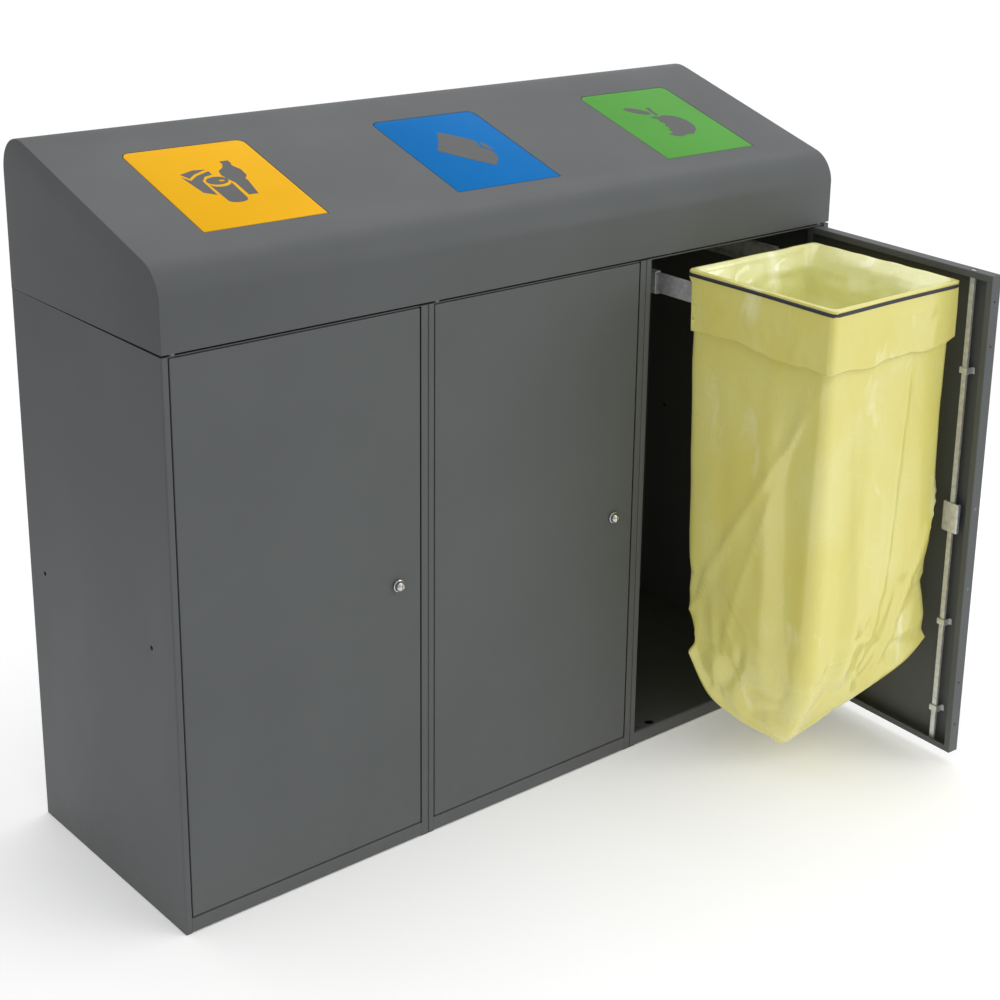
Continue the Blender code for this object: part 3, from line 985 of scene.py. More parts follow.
@dataclass
class Hood:
    """The bent hood with its closed ends, flap openings and rod tabs."""

    bend: float = 0.048
    bend_steps: int = 16
    gable_round: float = 0.0016
    flap_gap: float = 0.0012
    front_edge: float = 0.8031
    back_edge: float = 0.8003
    tab_half: float = 0.008
    tab_drop: float = 0.0145
    foot_thick: float = 0.0020
    low: Vector = field(default_factory=Vector)
    high: Vector = field(default_factory=Vector)

    def lid_height(self, y: float) -> float:
        """Height of the lid's outer face.

        Args:
            y: where, along the depth.

        Returns:
            The height above the floor.
        """
        centre_y, centre_z = self.high.y - self.bend, RIDGE - self.bend
        touch_y = centre_y - self.bend * math.sin(SLOPE)
        touch_z = centre_z + self.bend * math.cos(SLOPE)
        return touch_z - (touch_y - y) * math.tan(SLOPE)

    def build(self) -> bpy.types.Object:
        """Model the hood.

        Returns:
            The hood.
        """
        self.low, self.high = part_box("hood")
        hood = add_box("hood_shell", (self.low.x, self.low.y, self.front_edge), self.high)
        for side_y, foot in ((self.low.y, self.front_edge), (self.high.y, self.back_edge)):
            for vert in hood.data.vertices:
                if abs(vert.co.y - side_y) < SHEET:
                    on_lid = vert.co.z > self.front_edge + self.bend
                    vert.co.z = self.lid_height(side_y) if on_lid else foot
        self.bend_edge(hood, self.high.y, QUARTER - SLOPE)
        self.bend_edge(hood, self.low.y, QUARTER + SLOPE)
        select_parts(hood, "FACE", lambda face: face.normal.z < -0.99)
        bpy.ops.mesh.delete(type="FACE")
        bpy.ops.mesh.select_all(action="SELECT")
        bpy.ops.mesh.normals_make_consistent(inside=False)
        bpy.ops.object.mode_set(mode="OBJECT")
        self.round_gables(hood)
        skin = hood.modifiers.new("skin", "SOLIDIFY")
        skin.thickness = SHEET
        skin.offset = -1.0
        skin.use_even_offset = True
        apply_all(hood)
        for number in CABINETS:
            self.cut_opening(hood, number)
        tabs = [self.rod_tab(number, side) for number in CABINETS for side in (-1, 1)]
        hood = joined("hood_shell", [hood, *tabs])
        shade(hood, 25)
        return fit(hood, Stock.GREY, "cabinets", ("hood",))

    def bend_edge(self, hood: bpy.types.Object, y: float, inner_angle: float) -> None:
        """Round one long edge of the lid.

        Args:
            hood: the hood.
            y: where the edge is.
            inner_angle: the angle between the two faces, inside the hood.
        """
        verts = hood.data.vertices
        above = self.front_edge + self.bend
        select_parts(hood, "EDGE", lambda edge: all(
            abs(verts[index].co.y - y) < SHEET and verts[index].co.z > above for index in edge.vertices))
        setback = self.bend / math.tan(inner_angle / 2)
        bpy.ops.mesh.bevel(offset_type="OFFSET", offset=setback, segments=self.bend_steps,
                           profile=0.5, clamp_overlap=False)
        bpy.ops.object.mode_set(mode="OBJECT")

    def round_gables(self, hood: bpy.types.Object) -> None:
        """Round the edge between the bent sheet and its closed ends.

        Args:
            hood: the hood.
        """
        gables: dict[tuple[int, int], list[bool]] = {}
        for face in hood.data.polygons:
            for key in face.edge_keys:
                gables.setdefault(key, []).append(abs(face.normal.x) > 0.9)
        select_parts(hood, "EDGE",
                     lambda edge: sorted(gables.get(tuple(sorted(edge.vertices)), [])) == [False, True])
        bpy.ops.mesh.bevel(offset_type="OFFSET", offset=self.gable_round, segments=3, profile=0.5)
        bpy.ops.object.mode_set(mode="OBJECT")

    def flap_plane(self, number: int) -> tuple[Matrix, float, float]:
        """Where a flap's opening lies.

        Args:
            number: the cabinet's number.

        Returns:
            The opening's own frame, its width and its length up the lid.
        """
        low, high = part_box(f"flap_{number}")
        corner = Matrix.Translation((cabinet_x(number), low.y, self.lid_height(low.y)))
        return corner @ Matrix.Rotation(SLOPE, 4, "X"), high.x - low.x, Flap.LENGTH

    def cut_opening(self, hood: bpy.types.Object, number: int) -> None:
        """Cut one flap opening.

        Args:
            hood: the hood.
            number: the cabinet's number.
        """
        frame, width, length = self.flap_plane(number)
        loop = rounded_top(width / 2 + self.flap_gap, -self.flap_gap, length + self.flap_gap,
                           Flap.CORNER + self.flap_gap)
        tool = outline_mesh("opening_tool", [loop], 0.03, frame @ Matrix.Translation((0, 0, -0.02)))
        boolean(hood, tool, "DIFFERENCE")

    def rod_tab(self, number: int, side: int) -> bpy.types.Object:
        """A folded tab under the lid that holds one end of a flap's rod.

        Args:
            number: the cabinet's number.
            side: -1 left, 1 right.

        Returns:
            The tab.
        """
        frame, _, length = self.flap_plane(number)
        axle = length - Flap.AXLE_INSET
        low_y, high_y, lid = axle - self.tab_half, axle + self.tab_half, -0.0014
        near, far = sorted((side * 0.0955, side * 0.0975))
        tab = add_box(f"hood_tab_{number}", (near, low_y, -self.tab_drop), (far, high_y, lid))
        near, far = sorted((side * 0.0957, side * 0.1060))
        foot = add_box("foot", (near, low_y, lid - self.foot_thick), (far, high_y, lid))
        tab = boolean(tab, foot, "UNION")
        hole = add_disc("hole", (side * 0.0965, axle, -Flap.AXLE_DEPTH), AXIS_X, Flap.AXLE_BORE, 0.008)
        boolean(tab, hole, "DIFFERENCE")
        bevelled(tab, 0.0003, 2)
        return transformed(tab, frame)


def rounded_top(half: float, low: float, high: float, radius: float,
                steps: int = 8) -> list[Point]:
    """Outline with square lower corners and round upper ones.

    Args:
        half: half its width.
        low: its lower edge.
        high: its upper edge.
        radius: the upper corners' radius.
        steps: facets in each corner.

    Returns:
        The outline's points.
    """
    points = [(-half, low), (half, low)]
    for centre_x, start in ((half - radius, 0), (radius - half, 90)):
        points += arc(centre_x, high - radius, radius, radius, start, start + 90, steps)
    return points


# ---------------------------------------------------------------- flaps and their signs


class Sign(Enum):
    """What a flap's sign shows."""

    PACKAGING = "carton_can_and_bottle"
    PAPER = "curling_sheet"
    FOOD = "apple_and_leaf"


def arc(x: float, y: float, radius_x: float, radius_y: float, start: float, end: float,
        steps: int = 12) -> list[Point]:
    """Points along an ellipse's arc.

    Args:
        x: its middle's place to the right.
        y: its middle's place upwards.
        radius_x: half its width.
        radius_y: half its height.
        start: the first point's angle in degrees.
        end: the last point's angle in degrees.
        steps: how many pieces the arc has.

    Returns:
        The points.
    """
    points = []
    for step in range(steps + 1):
        angle = math.radians(start + (end - start) * step / steps)
        points.append((x + radius_x * math.cos(angle), y + radius_y * math.sin(angle)))
    return points


@dataclass
class SignArtist:
    """Draws the three flap signs as flat figures about the flap's middle, in units of a millimetre."""

    unit: float = 0.001

    def loops(self, sign: Sign) -> list[list[Point]]:
        """Outlines of a sign, at its real size.

        Args:
            sign: which sign.

        Returns:
            Closed outlines in metres.
        """
        drawn = {Sign.PACKAGING: self.packaging, Sign.PAPER: self.paper, Sign.FOOD: self.food}[sign]()
        return [[(x * self.unit, y * self.unit) for x, y in loop] for loop in drawn]

    def packaging(self) -> list[list[Point]]:
        """A carton, a bottle and a drinks can in front of them."""
        carton_lid = [(-44, 36), (-22, 43), (-4, 41), (-26, 32), (-37, 23)]
        carton = [(-46, 29), (-38, 17), (-25, 27), (-2, 36), (-2, 26), (-15, 23), (-24, 12), (-24, -26),
                  (-39, -16)]
        can = arc(-4, 2, 16, 9.5, 180, 360, 16) + arc(-4, -43, 14.5, 8, 0, -180, 16)
        lid = arc(-4, 9, 16, 10.5, 0, 345, 28)
        opening = arc(2, 8, 4.5, 2.2, 0, 330, 12)
        bottle = [(17, -36), (31, -36), (37, 0), (36, 5), (43, 13), (44, 30), (39, 40), (38, 46), (40, 48),
                  (40, 57), (27, 57), (27, 48), (25, 46), (22, 40), (12, 33), (9, 22), (13, 8), (17, -2)]
        return [carton_lid, carton, can, lid, opening, bottle]

    def paper(self) -> list[list[Point]]:
        """A sheet that curls at one corner."""
        upper = self.bowed((-9, 58), (34, 19), 4, 10) + [(34, 19)]
        curl = [(30, 8), (29, 1), (35, -8), (38.5, -17), (37, -30), (29, -42), (16, -54)]
        lower = self.bowed((16, -54), (-45, 7), -2, 10)[1:]
        left = self.bowed((-45, 7), (-9, 58), -3, 8)
        corner = [(38, 17), (42.5, 6), (44.5, -6), (43.5, -15), (39, -8), (33, 0), (35, 8)]
        return [upper + curl + lower + left, corner]

    def bowed(self, start: Point, end: Point, rise: float, steps: int) -> list[Point]:
        """A gently bowed edge.

        Args:
            start: its first point.
            end: where it stops; that point is left to the next edge.
            rise: how far its middle bows upwards.
            steps: how many pieces it has.

        Returns:
            The points.
        """
        return [(start[0] + (end[0] - start[0]) * step / steps,
                 start[1] + (end[1] - start[1]) * step / steps + rise * math.sin(math.pi * step / steps))
                for step in range(steps)]

    def food(self) -> list[list[Point]]:
        """An apple with a bite out of its side, a stalk and a leaf."""
        right = arc(10, -14, 32, 33, 76, -62, 18)
        bottom = [(17, -48.5), (7, -47), (-2, -49.5), (-12, -51), (-22, -46), (-28, -38)]
        bite = []
        for x, y in ((-21, -31), (-16, -19), (-13, -6), (-14, 7)):
            bite += arc(x, y, 6.5, 6.5, -75, 75, 5)
        top = [(-18, 18), (-8, 20), (2, 17), (10, 20)]
        turn = math.radians(-34)
        leaf = [(-24 + x * math.cos(turn) - y * math.sin(turn), 42 + x * math.sin(turn) + y * math.cos(turn))
                for x, y in arc(0, 0, 23, 8.5, 0, 345, 26)]
        stalk = [(-1, 22), (5, 22), (5, 34), (8, 48), (0, 50), (-1, 36)]
        return [right + bottom + bite + top, leaf, stalk]


@dataclass
class Flap:
    """One push flap: folded panel, hinge sleeves and its sign."""

    number: int
    stock: Stock
    slot: str
    sign: Sign
    thick: float = 0.0020

    LENGTH = 0.2165
    CORNER = 0.012
    AXLE_INSET = 0.007
    AXLE_DEPTH = 0.008
    AXLE_BORE = 0.0031

    def build(self, hood: Hood) -> None:
        """Model the flap and its sign.

        Args:
            hood: the hood it lies in.
        """
        frame, width, length = hood.flap_plane(self.number)
        half = width / 2
        loop = rounded_top(half, 0.0, length, self.CORNER, 10)
        panel = outline_mesh(f"flap_panel_{self.number}", [loop], self.thick,
                             Matrix.Translation((0, 0, -self.thick)))
        bevelled(panel, 0.0005, 2, 50)
        axle = length - self.AXLE_INSET
        extras = []
        for side in (-1, 1):
            extras.append(self.sleeve(side * 0.062, axle))
            near, far = sorted((side * (half - 0.0035), side * (half - 0.0020)))
            lip = add_box("lip", (near, 0.006, -0.012), (far, axle - 0.012, -0.0019))
            extras.append(bevelled(lip, 0.0003, 2))
        panel = joined(f"flap_panel_{self.number}", [panel, *extras])
        shade(transformed(panel, frame), 30)
        body = f"flap_body_{self.number}"
        fit(panel, self.stock, body, (f"flap_{self.number}",))
        centre = frame @ Matrix.Translation((0.0, length * 0.50, 0.00005))
        sign = outline_mesh(f"flap_sign_{self.number}", SignArtist().loops(self.sign), 0.00015, centre)
        fit(sign, Stock.SIGN, body)

    def sleeve(self, centre: float, axle: float) -> bpy.types.Object:
        """A rolled hinge sleeve welded under the panel's upper edge.

        Args:
            centre: its middle across the flap.
            axle: the rod's place up the flap.

        Returns:
            The sleeve.
        """
        tube = add_disc("sleeve", (centre, axle, -self.AXLE_DEPTH), AXIS_X, 0.0048, 0.040, 32)
        web = add_box("web", (centre - 0.018, axle - 0.0015, -0.0055),
                      (centre + 0.018, axle + 0.0015, -0.0019))
        tube = boolean(tube, web, "UNION")
        bore = add_disc("bore", (centre, axle, -self.AXLE_DEPTH), AXIS_X, self.AXLE_BORE, 0.06, 32)
        return bevelled(boolean(tube, bore, "DIFFERENCE"), 0.0004, 2, 50)


# ---------------------------------------------------------------- small fixings


@dataclass
class Screw:
    """A pan-head screw with a cross recess."""

    radius: float = 0.0032
    height: float = 0.0016

    def model(self, name: str) -> bpy.types.Object:
        """Model the screw at the origin, its head along +Z.

        Args:
            name: the piece's name.

        Returns:
            The screw.
        """
        deselect()
        bpy.ops.mesh.primitive_uv_sphere_add(segments=20, ring_count=10, radius=self.radius)
        head = named(name)
        head.scale.z = self.height / self.radius
        edit_all(freeze(head))
        bpy.ops.mesh.bisect(plane_co=(0, 0, 0.0), plane_no=(0, 0, 1), use_fill=True, clear_inner=True)
        bpy.ops.object.mode_set(mode="OBJECT")
        long, short = self.radius * 0.62, self.radius * 0.13
        for x, y in ((long, short), (short, long)):
            tool = add_box("cross", (-x, -y, self.height * 0.5), (x, y, self.height * 2))
            boolean(head, tool, "DIFFERENCE")
        return shade(clean(head), 35)

    def set_at(self, name: str, points: list[tuple[Vector, Vector]]) -> bpy.types.Object:
        """Copies of the screw at several places, as one piece.

        Args:
            name: the piece's name.
            points: each screw's seat and the direction its head points in.

        Returns:
            The joined screws.
        """
        first = self.model(name)
        copies = []
        for index, (seat, axis) in enumerate(points):
            matrix = Matrix.Translation(seat) @ axis.to_track_quat("Z", "Y").to_matrix().to_4x4()
            copies.append(copied(first, f"{name}_{index}", matrix))
        bpy.data.objects.remove(first, do_unlink=True)
        return joined(name, copies)


# ---------------------------------------------------------------- locks and doors


@dataclass
class DoorFrame:
    """Where a door stands: its own axes, from the closed door's to the station's."""

    number: int
    hinge: Vector
    angle: float
    lock_inset: float = 0.147

    @property
    def matrix(self) -> Matrix:
        """From the closed door's place to where it stands."""
        turn = Matrix.Rotation(self.angle, 4, "Z")
        return Matrix.Translation(self.hinge) @ turn @ Matrix.Translation(-self.hinge)

    @property
    def x(self) -> float:
        """The middle of the door's cabinet."""
        return cabinet_x(self.number)

    @property
    def free_side(self) -> int:
        """Which side the free edge is on: -1 left, 1 right."""
        return -1 if self.angle else 1

    @property
    def lock_x(self) -> float:
        """Where the lock and rods are on the closed door."""
        return self.x + self.free_side * self.lock_inset


@dataclass
class Lock:
    """Knob, escutcheon and the case behind the door's face."""

    door: DoorFrame
    front: float
    level: float = 0.408
    half_width: float = 0.0150
    half_height: float = 0.0240
    wall: float = 0.0025

    PROFILE = ((0.0, 0.0118), (0.0024, 0.0116), (0.0046, 0.0107), (0.0062, 0.0091), (0.0071, 0.0070),
               (0.0073, 0.0046), (0.0076, 0.0037), (0.0086, 0.0032), (0.0088, 0.0017), (0.0087, 0.0004),
               (0.0060, 0.0003), (0.0060, -0.0030), (0.0108, -0.0031), (0.0108, -0.0054), (0.0, -0.0054))

    def build(self) -> None:
        """Model the knob and the lock case."""
        number = self.door.number
        knob = self.knob(f"lock_knob_{number}")
        fit(transformed(knob, self.door.matrix), Stock.CHROME, f"lock_body_{number}",
            (f"lock_{number}",))
        case = self.case(f"lock_case_{number}")
        fit(transformed(case, self.door.matrix), Stock.ZINC, f"door_body_{number}")

    def knob(self, name: str) -> bpy.types.Object:
        """The turned knob with its coin slot and barrel.

        Args:
            name: the piece's name.

        Returns:
            The knob, on the closed door.
        """
        deselect()
        bpy.ops.mesh.primitive_circle_add(vertices=len(self.PROFILE), radius=0.001, fill_type="NOTHING")
        knob = named(name)
        for vert, (radius, height) in zip(knob.data.vertices, self.PROFILE):
            vert.co = (radius, 0.0, height)
        edit_all(knob)
        bpy.ops.mesh.spin(steps=48, angle=math.radians(360), center=(0, 0, 0), axis=(0, 0, 1))
        bpy.ops.object.mode_set(mode="OBJECT")
        clean(knob, 0.00003)
        slot = add_box("slot", (-0.0011, -0.0048, 0.0088), (0.0011, 0.0048, 0.02))
        boolean(knob, slot, "DIFFERENCE")
        seat = Matrix.Translation((self.door.lock_x, self.front, self.level))
        return shade(transformed(knob, seat @ Matrix.Rotation(QUARTER, 4, "X")), 28)

    def case(self, name: str) -> bpy.types.Object:
        """The pressed case that holds the cam and guides both rods.

        Args:
            name: the piece's name.

        Returns:
            The case, on the closed door.
        """
        x, y = self.door.lock_x, self.front
        case = add_box(name, (x - self.half_width, y + 0.0098, self.level - self.half_height),
                       (x + self.half_width, y + 0.0174, self.level + self.half_height))
        bevelled(case, 0.0022, 3)
        inner = self.half_width - self.wall
        hollow = add_box("hollow", (x - inner, y + 0.0020, self.level - 0.03),
                         (x + inner, y + 0.0160, self.level + 0.03))
        boolean(case, hollow, "DIFFERENCE")
        return shade(case, 35)


@dataclass
class Door:
    """A tray door with its rod guides and edge screws."""

    door: DoorFrame
    front: float
    top: float = 0.7975
    bottom: float = 0.024
    strap_half: float = 0.0110
    strap_wall: float = 0.0013

    GUIDES = (0.80, 0.27, 0.060 / 0.7735)
    EDGE_SCREWS = (0.36, 0.53)

    def build(self) -> None:
        """Finish the door and add its fittings."""
        number = self.door.number
        body = f"door_body_{number}"
        Lock(self.door, self.front).build()
        guides = [self.guide(self.level_between(share)) for share in self.GUIDES]
        piece = joined(f"rod_guides_{number}", guides)
        fit(shade(transformed(piece, self.door.matrix), 35), Stock.ZINC, body)
        self.edge_screws(body)

    def level_between(self, share: float) -> float:
        """A height, as a share of the door's."""
        return self.bottom + share * (self.top - self.bottom)

    def guide(self, level: float) -> bpy.types.Object:
        """A bent strap that keeps the bolt rod against the door.

        Args:
            level: its height.

        Returns:
            The strap, on the closed door.
        """
        x, y = self.door.lock_x, self.front
        half = self.strap_half
        strap = add_box("strap", (x - half, y + 0.0018, level - 0.005), (x + half, y + 0.0165, level + 0.005))
        bevelled(strap, 0.0012, 3)
        for low_x, high_x, low_y, high_y in ((-0.0058, 0.0058, 0.0, 0.0165 - self.strap_wall),
                                             (-0.02, -0.0072, 0.0032, 0.02), (0.0072, 0.02, 0.0032, 0.02)):
            tool = add_box("tool", (x + low_x, y + low_y, level - 0.01),
                           (x + high_x, y + high_y, level + 0.01))
            boolean(strap, tool, "DIFFERENCE")
        return strap

    def edge_screws(self, body: str) -> None:
        """Two screws through the free edge.

        Args:
            body: the body they ride on.
        """
        number = self.door.number
        low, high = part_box("door_1")
        outward = self.door.free_side
        edge = self.door.x - cabinet_x(1) + (low.x if outward < 0 else high.x)
        seats = [(Vector((edge - outward * 0.0001, self.front + 0.011, self.level_between(share))),
                  AXIS_X * outward) for share in self.EDGE_SCREWS]
        screws = Screw(0.0027, 0.0008).set_at(f"door_screws_{number}", seats)
        fit(transformed(screws, self.door.matrix), Stock.BLUED, body)


# ---------------------------------------------------------------- slides


@dataclass
class Slides:
    """Fittings of one drawer's telescopic slides: ball cages, screws and the ribbed rear plate."""

    number: int
    cage_length: float = 0.070
    plate_half: float = 0.112
    plate_top: float = 0.7692

    SCREWS = (0.012, 0.034, 0.290)

    def build(self) -> None:
        """Model the fittings."""
        for side, label in SIDES:
            self.cage(side, label)
            self.screws(side, label)
        self.rear_plate()

    def cage(self, side: int, label: str) -> None:
        """The strip of balls between the outer and the middle rail.

        Args:
            side: -1 left, 1 right.
            label: the side's name.
        """
        outer_low, outer_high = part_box(f"slide_outer_{label}_{self.number}")
        x = cabinet_x(self.number) + side * 0.1277
        start = outer_low.y + 0.003
        pieces = []
        for level in (outer_low.z + 0.0026, outer_high.z - 0.0026):
            strip = add_box("strip", (x - 0.0022, start, level - 0.0006),
                            (x + 0.0022, start + self.cage_length, level + 0.0006))
            pieces.append(bevelled(strip, 0.0003, 2))
        piece = joined(f"ball_cage_{label}_{self.number}", pieces)
        fit(shade(piece, 35), Stock.ZINC, "cabinets")

    def screws(self, side: int, label: str) -> None:
        """Screws in the outer rail's web.

        Args:
            side: -1 left, 1 right.
            label: the side's name.
        """
        outer_low, outer_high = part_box(f"slide_outer_{label}_{self.number}")
        level = (outer_low.z + outer_high.z) / 2
        web = cabinet_x(self.number) + side * 0.1359
        seats = [(Vector((web, outer_low.y + offset, level)), AXIS_X * side) for offset in self.SCREWS]
        screws = Screw(0.0028, 0.0006).set_at(f"slide_screws_{label}_{self.number}", seats)
        fit(screws, Stock.BLUED, "cabinets")

    def rear_plate(self) -> None:
        """A grooved plate with two screws on the drawer's rear cross plate."""
        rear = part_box(f"bag_frame_{self.number}")[1].y
        x = cabinet_x(self.number)
        top = self.plate_top
        plate = add_box(f"rear_plate_{self.number}", (x - self.plate_half, rear - 0.0160, top),
                        (x + self.plate_half, rear - 0.0010, top + 0.0016))
        bevelled(plate, 0.0006, 2)
        for offset in (-0.0125, -0.0045):
            groove = add_box("groove", (x - 0.10, rear + offset - 0.0012, top + 0.0009),
                             (x + 0.10, rear + offset + 0.0012, top + 0.01))
            boolean(plate, groove, "DIFFERENCE")
        body = f"drawer_{self.number}"
        fit(shade(plate, 35), Stock.BLUED, body)
        seats = [(Vector((x + offset, rear - 0.0085, top + 0.0015)), AXIS_Z) for offset in (-0.052, 0.048)]
        fit(Screw(0.0030, 0.0014).set_at(f"plate_screws_{self.number}", seats), Stock.ZINC, body)


# ---------------------------------------------------------------- bags


def smoothstep(low: float, high: float, value: float) -> float:
    """Smooth rise from 0 at low to 1 at high."""
    share = max(0.0, min(1.0, (value - low) / (high - low)))
    return share * share * (3 - 2 * share)


@dataclass
class Bag:
    """A film bag over the drawer's frame: mouth, turned-down cuff and a body that sags to a seam."""

    number: int
    seed: int
    in_daylight: bool
    around: int = 176
    levels: int = 150
    cuff_steps: int = 26
    over_steps: int = 5
    band_steps: int = 120
    rim: float = 0.7818
    lip: float = 0.0006
    band_level: float = 0.7757
    cuff_low: float = 0.690
    wall: float = 0.0007

    CUFF = (0.1392, 0.1430, 0.006)
    MOUTH = (0.1330, 0.1371, 0.012)
    BAND = (0.1385, 0.1422, 0.0058)
    SEAM_START = 0.385
    SEAM = ((-0.130, 0.116, 0.166), (-0.113, 0.085, 0.100), (-0.082, 0.045, 0.060), (-0.060, 0.004, 0.045),
            (-0.048, -0.014, 0.036), (-0.032, -0.030, 0.052), (0.002, -0.056, 0.084), (0.050, -0.094, 0.126),
            (0.100, -0.127, 0.172), (0.140, -0.134, 0.206))

    def centre(self) -> Vector:
        """The middle of the drawer's ring."""
        low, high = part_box(f"band_{self.number}")
        return (low + high) / 2

    def rounded_box(self, share: float, half_x: float, half_y: float, corner: float) -> Vector:
        """A point round a rectangle with round corners.

        Args:
            share: how far round, from 0 to 1, starting in the middle of the right side.
            half_x: half its width.
            half_y: half its depth.
            corner: its corners' radius.

        Returns:
            The point, with no height.
        """
        flat_x, flat_y, bend = half_x - corner, half_y - corner, corner * QUARTER
        sides = (((half_x, 0.0), (0, 1), flat_y), ((flat_x, half_y), (-1, 0), 2 * flat_x),
                 ((-half_x, flat_y), (0, -1), 2 * flat_y), ((-flat_x, -half_y), (1, 0), 2 * flat_x),
                 ((half_x, -flat_y), (0, 1), flat_y))
        centres = ((flat_x, flat_y), (-flat_x, flat_y), (-flat_x, -flat_y), (flat_x, -flat_y))
        run = (share % 1.0) * 4 * (flat_x + flat_y + bend)
        for index, (start, way, length) in enumerate(sides):
            if run <= length or index == len(centres):
                return Vector((start[0] + way[0] * run, start[1] + way[1] * run, 0))
            run -= length
            if run <= bend:
                angle = QUARTER * index + run / corner
                x, y = centres[index]
                return Vector((x + corner * math.cos(angle), y + corner * math.sin(angle), 0))
            run -= bend
        return Vector((half_x, 0, 0))

    def body_half(self, height: float) -> tuple[float, float, float]:
        """Size of the hanging body at a height.

        Args:
            height: the height.

        Returns:
            Half its width, half its depth and its corners' radius.
        """
        neck = smoothstep(0.735, 0.700, height)
        half_x = 0.1192 + 0.0153 * neck
        half_y = 0.1356 + 0.0020 * neck
        rim = smoothstep(0.768, 0.7805, height)
        half_x += 0.0138 * rim
        half_y += 0.0015 * rim
        return half_x, half_y, 0.014 + 0.012 * smoothstep(0.72, 0.38, height)

    def seam_point(self, share: float) -> Vector:
        """The bottom seam, from one ear through the lowest point to the other.

        Args:
            share: how far round the bag; two shares meet at each seam point.

        Returns:
            The point.
        """
        last = len(self.SEAM) - 1
        along = (share - self.SEAM_START) % 1.0
        stretch = (along * 2 if along < 0.5 else 2 - along * 2) * last
        index = min(last - 1, int(stretch))
        step = stretch - index
        before, here, there, after = (Vector(self.SEAM[max(0, min(last, index + offset))])
                                      for offset in (-1, 0, 1, 2))
        bend = 0.5 * ((there - before) * step + (2 * before - 5 * here + 4 * there - after) * step ** 2
                      + (3 * here - before - 3 * there + after) * step ** 3)
        return here + bend

    def body_point(self, share: float, drop: float) -> Vector:
        """A point of the hanging body.

        Args:
            share: how far round.
            drop: 0 at the rim and 1 at the seam.

        Returns:
            The point, about the ring's middle.
        """
        seam = self.seam_point(share)
        height = self.rim + (seam.z - self.rim) * drop
        half_x, half_y, corner = self.body_half(height)
        wall = self.rounded_box(share, half_x, half_y, corner)
        turn = max(0.0, (drop - 0.64) / 0.36)
        gather = 0.45 * (1 - math.sqrt(max(0.0, 1 - turn ** 2.2))) + 0.55 * turn ** 1.9
        point = wall.lerp(Vector((seam.x, seam.y, 0)), gather)
        near = ((share - self.SEAM_START) % 1.0) < 0.5
        between_ears = ((share - self.SEAM_START) % 0.5) * 2
        belly = math.sin(math.pi * min(1.0, turn)) * math.sin(math.pi * between_ears)
        point.z = height - (0.012 if near else 0.030) * belly
        return point

    def ripple(self, point: Vector, across: float, up: float, shift: float) -> float:
        """A smooth random wave of the film.

        Args:
            point: where.
            across: how many waves a metre holds, level.
            up: how many it holds upwards.
            shift: moves the pattern, so that no two bags are alike.

        Returns:
            The height, about -1 to 1.
        """
        return noise.noise(Vector((point.x * across, point.y * across, point.z * up + shift)))

    def crease(self, offset: float, width: float) -> float:
        """Height of a sharp fold in the film.

        Args:
            offset: distance from the fold's line.
            width: its half width.

        Returns:
            The height, from 0 to 1.
        """
        return math.exp(-abs(offset) / width)

    def crumple(self, point: Vector, outward: Vector, drop: float) -> Vector:
        """Move a point by the film's folds.

        Args:
            point: the point.
            outward: the level direction away from the bag's middle.
            drop: 0 at the rim and 1 at the seam.

        Returns:
            The moved point.
        """
        key = self.seed * 3.1
        slow = self.ripple(point, 6.0, 2.2, key)
        fold = abs(self.ripple(point, 15.0, 3.0, key))
        fine = self.ripple(point, 30.0, 16.0, key * 2)
        cells = noise.voronoi(Vector((point.x * 15.0, point.y * 15.0, point.z * 12.0 + key)))[0]
        facet = min(1.0, (cells[1] - cells[0]) * 1.6)
        free = smoothstep(0.08, 0.30, drop)
        low = smoothstep(0.66, 0.86, drop)
        amount = free * (0.0050 * slow + 0.0028 * fold) + 0.0008 * fine * free
        amount += 0.0110 * low * (facet - 0.6) - 0.0110 * low * fold
        facing = smoothstep(0.84, 1.0, -0.7071 * (outward.x + outward.y))
        amount -= 0.017 * facing * smoothstep(0.72, 0.45, point.z) * (1 - 0.5 * low)
        amount += 0.005 * smoothstep(0.3, 0.9, outward.x) * smoothstep(0.70, 0.45, point.z) * (1 - 0.6 * low)
        neck = smoothstep(0.012, 0.05, drop) * smoothstep(0.15, 0.07, drop)
        swag = abs(self.ripple(point, 13.0, 20.0, key)) + 0.5 * abs(self.ripple(point, 31.0, 44.0, key))
        amount -= neck * (0.003 + 0.017 * swag)
        if outward.x < -0.4:
            for depth, level, slant, width in ((0.0050, 0.68 - 0.136 * 1.7, 1.7, 0.011),
                                               (0.0030, 0.50 - 0.05 * 3.0, 3.0, 0.009)):
                amount += depth * free * self.crease(point.z - level + point.y * slant, width)
        if outward.y < -0.4:
            for depth, x, level, slant, width in ((0.0050, 0.125, 0.44, 0.30, 0.0045),
                                                  (0.0034, 0.040, 0.60, 0.08, 0.0035),
                                                  (0.0020, -0.055, 0.50, -0.10, 0.0030)):
                amount += depth * free * self.crease(point.x - x + (level - point.z) * slant, width)
        return point + outward * amount

